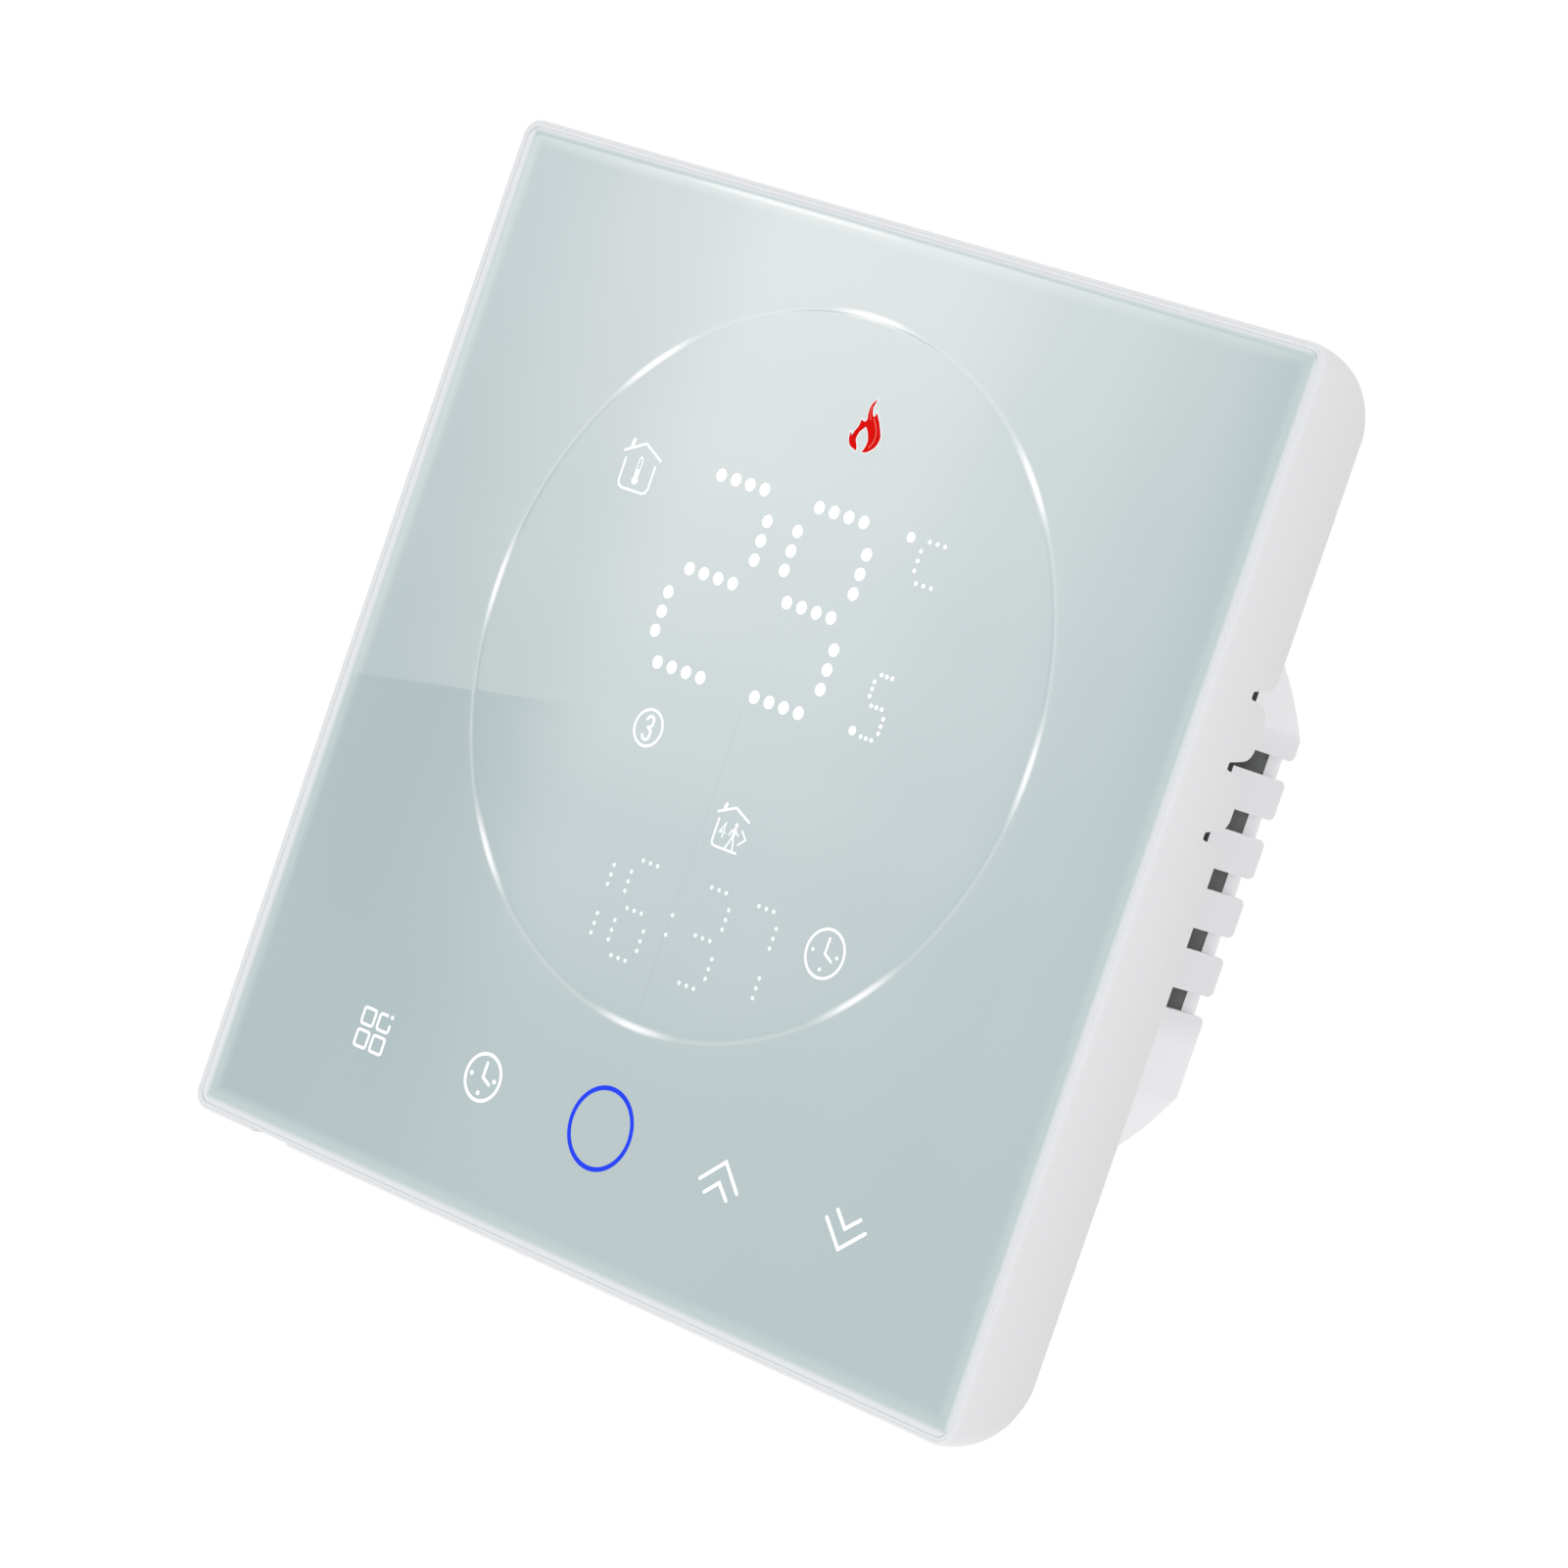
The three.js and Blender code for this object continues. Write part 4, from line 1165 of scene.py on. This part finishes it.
def sleeved_capacitor(name, node, x, z, r, y1):
    """Sleeved can: crimp near the board, shrink sleeve rolled over the rim, bare end with a vent cross."""
    build = Build(sleeve_black, cell_steel)
    sleeve = [(BOARD_BACK, r - 0.3), (8.75, r - 0.06), (9.6, r), (10.0, r - 0.04), (10.3, r - 0.3),
              (10.55, r - 0.34), (10.8, r - 0.3), (11.1, r - 0.04), (11.4, r), (y1 - 0.5, r),
              (y1 - 0.2, r - 0.08), (y1 - 0.05, r - 0.28), (y1, r - 0.6), (y1 - 0.03, r - 0.95)]
    build.turned(x, z, sleeve, 0, 40)
    build.turned(x, z, [(y1 - 0.3, r - 1.0), (y1 - 0.1, r - 1.0), (y1 - 0.06, r - 1.15)], 1, 40)
    for turn in (pi / 4, 3 * pi / 4):
        c, s = cos(turn), sin(turn)
        long, thin = r - 1.4, 0.09
        outline = [(x + c * u - s * v, z + s * u + c * v) for u, v in
                   ((long, -thin), (long, thin), (-long, thin), (-long, -thin))]
        build.take(*skin_rings([(y1 - 0.09, outline), (y1 - 0.02, outline)]), 0)
    build.piece(name, "base", "sleeve", node)


def disc_varistor():
    """Dipped disc with a thick coating that runs down its two wires."""
    build = Build(varistor_blue, solder_tin)
    disc = []
    for i in range(13):
        a = pi * i / 12
        disc.append((1.6 - 1.8 * cos(a), 3.2 + 1.4 * sin(a) ** 0.6 if 0 < i < 12 else 3.2))
    build.turned(0.0, 14.4, disc, 0, 44, "x", 14.8)
    for x, z in ((1.1, 12.2), (2.1, 16.6)):
        build.turned(x, z, [(BOARD_BACK, 0.34), (10.6, 0.34)], 1, 12)
        build.turned(x, z, [(10.3, 0.4), (10.6, 0.52), (12.4, 0.8)], 0, 14)
    build.piece("disc_varistor", "base", "blue_plastic", "varistor")


def solder_side():
    """Solder joints and trimmed wire tips on the room side of the power board."""
    build = Build(solder_tin)
    tips = [(-20.4, -6.6), (-20.4, -0.4), (-9.0, -6.6), (-9.0, -0.4), (-4.4, -3.5), (-10.9, 13.2),
            (-7.9, 13.2), (6.6, 23.2), (8.8, 23.2), (1.1, 12.2), (2.1, 16.6), (8.6, 12.7), (14.4, 12.7)]
    tips += [(x, z) for x in (7.2, 10.0, 12.8, 15.6) for z in (-4.1, 4.1)]
    cone = [(7.02, 1.05), (6.86, 0.96), (6.6, 0.62), (6.35, 0.42), (6.1, 0.36), (5.95, 0.3)]
    for x, z in tips:
        build.turned(x, z, cone, 0, 16)
    for i in range(6):
        x = (i - 2.5) * 5.08
        outline = [box_outline(x - 0.4 - d, x + 0.4 + d, -18.9 - d, -18.1 + d, 0.3 + d * 0.3, 3)
                   for d in (0.75, 0.6, 0.28, 0.05)]
        build.take(*skin_rings(list(zip((7.02, 6.84, 6.5, 6.22), outline))), 0)
    build.piece("solder_joints", "base", "steel")


def chip_leads():
    """Tinned gull-wing leads round the two chips, and small chip parts near them."""
    build = Build(solder_tin, chip_black, clamp_brass)
    for i in range(11):
        u = -4.0 + i * 0.8
        for side in (-1, 1):
            build.brick(u - 0.16, u + 0.16, -5.42, -5.22, *sorted((side * 4.95, side * 6.1)), 0, 0.04)
            build.brick(*sorted((side * 4.95, side * 6.1)), -5.42, -5.22, u - 0.16, u + 0.16, 0, 0.04)
    for i in range(7):
        for z0, z1 in ((-31.4, -30.35), (-26.45, -25.4)):
            u = -3.9 + i * 1.3
            build.brick(u - 0.2, u + 0.2, -5.42, -5.22, z0, z1, 0, 0.04)
    small_parts = ((-9, 4), (-9, 1.5), (-9, -1), (9, 5), (9, 2.5), (-3, 10), (1, 10), (5, 10), (-12, -28),
                   (12, -28), (-20, -30), (20, -24), (28, 2), (28, -2), (-24, 14), (-24, 10), (30, 9),
                   (30, 14))
    for x, z in small_parts:
        build.brick(x - 0.62, x + 0.62, -5.42, -4.92, z - 0.4, z + 0.4, 1 if (x + z) % 2 else 2, 0.06)
        for side in (-1, 1):
            build.brick(*sorted((x + side * 0.62, x + side * 0.98)), -5.42, -4.9, z - 0.42, z + 0.42, 0, 0.06)
    build.piece("chip_leads", "front", "steel")


def notch_shade_block():
    """Dark block in the foam finish inside the side wall at the inner ends of the air notches: painted shade
    for the shadow seen there.
    """
    # painted shade: a dark block standing in for the shadow at the inner ends of the notches
    build = Build(foam_black)
    build.brick(38.7, 39.7, -5.3, -3.15, 4.8, 18.4, 0, 0.1)
    build.piece("notch_shade_block", "front", "adhesive")


notch_shade_block()
touch_coils()
link_header()
sleeved_capacitor("sleeved_capacitor_a", "mains_capacitor", -9.4, 13.2, 4.0, 19.4)
sleeved_capacitor("sleeved_capacitor_b", "output_capacitor", 7.6, 23.2, 3.2, 17.4)
disc_varistor()
solder_side()
chip_leads()


# ---------- studio

def studio():
    """Plain white surround and a pale floor well below the part."""
    world = bpy.data.worlds.new("studio_white")
    bpy.context.scene.world = world
    world.use_nodes = True
    sky = world.node_tree.nodes["Background"]
    sky.inputs["Color"].default_value = (1.0, 1.0, 1.0, 1.0)
    sky.inputs["Strength"].default_value = 1.0
    material, g, shader = finish_of("pale_floor", Roughness=0.8, Emission_Strength=1.0)
    shader.inputs["Specular IOR Level"].default_value = 0.1
    tint = g.noise(g.here(), 3.0, 2.0)
    g.feed(shader.inputs["Base Color"], g.mix(tint, tone(246, 246, 247), tone(250, 250, 250)))
    shader.inputs["Emission Color"].default_value = (0.16, 0.16, 0.16, 1.0)
    reach, depth = 4000, -700
    corners = [(x, y, depth) for x, y in ((-reach, -reach), (reach, -reach), (reach, reach), (-reach, reach))]
    floor = mesh_of("studio_floor", corners, [(0, 1, 2, 3)], material, False)
    bpy.context.scene.view_settings.view_transform = "Standard"


def reflection_card(reach=400.0):
    """Soft light card seen only as a mirror image in the glass, brightest toward its top."""
    share = reach / (FRONT_Y - eye.y)
    corners = [(x + (x - eye.x) * share, FRONT_Y - reach, z + (z - eye.z) * share)
               for x, z in ((-70, -70), (70, -70), (70, 70), (-70, 70))]
    material = bpy.data.materials.new("card_glow")
    material.use_nodes = True
    tree = material.node_tree
    tree.nodes.clear()
    g = Graph(tree)
    x = g.calc("DIVIDE", g.calc("ADD", g.place("X"), eye.x * share), 1.0 + share)
    z = g.calc("DIVIDE", g.calc("ADD", g.place("Z"), eye.z * share), 1.0 + share)
    across, upward = [g.steps(g.fade(value, -50.0, 50.0, curve="LINEAR"),
                              [(at, (v, v, v, 1.0)) for at, v in stops], "EASE") for value, stops in (
        (x, ((0.0, 0.15), (0.1, 0.4), (0.25, 0.78), (0.4, 1.0), (0.55, 0.95), (0.72, 0.62), (0.84, 0.33),
             (0.92, 0.06), (1.0, 0.0))),
        (z, ((0.0, 0.0), (0.2, 0.05), (0.4, 0.3), (0.5, 0.52), (0.62, 0.7), (0.74, 0.86), (0.9, 1.0))))]
    edge = g.calc("MAXIMUM", g.calc("MULTIPLY_ADD", x, 0.158, 1.6), -4.92)
    lit = g.calc("MAXIMUM", g.fade(g.calc("SUBTRACT", z, edge), -0.12, 0.12), g.fade(x, -33.0, -12.0))
    level = g.times(g.times(across, upward), lit)
    level = g.times(level, g.fade(window_inset(g, x, z), -0.1, 0.3))
    glow = g.add("Emission", Color=(1.0, 0.84, 0.81, 1.0))
    g.feed(glow.inputs["Strength"], g.calc("MULTIPLY_ADD", level, 5.6, 1.0))
    g.feed(g.add("OutputMaterial").inputs["Surface"], glow.outputs[0])
    card = mesh_of("reflection_card", corners, [(0, 1, 2, 3)], material, False)
    for ray in ("camera", "diffuse", "transmission", "volume_scatter", "shadow"):
        setattr(card, "visible_" + ray, False)


studio()
reflection_card()
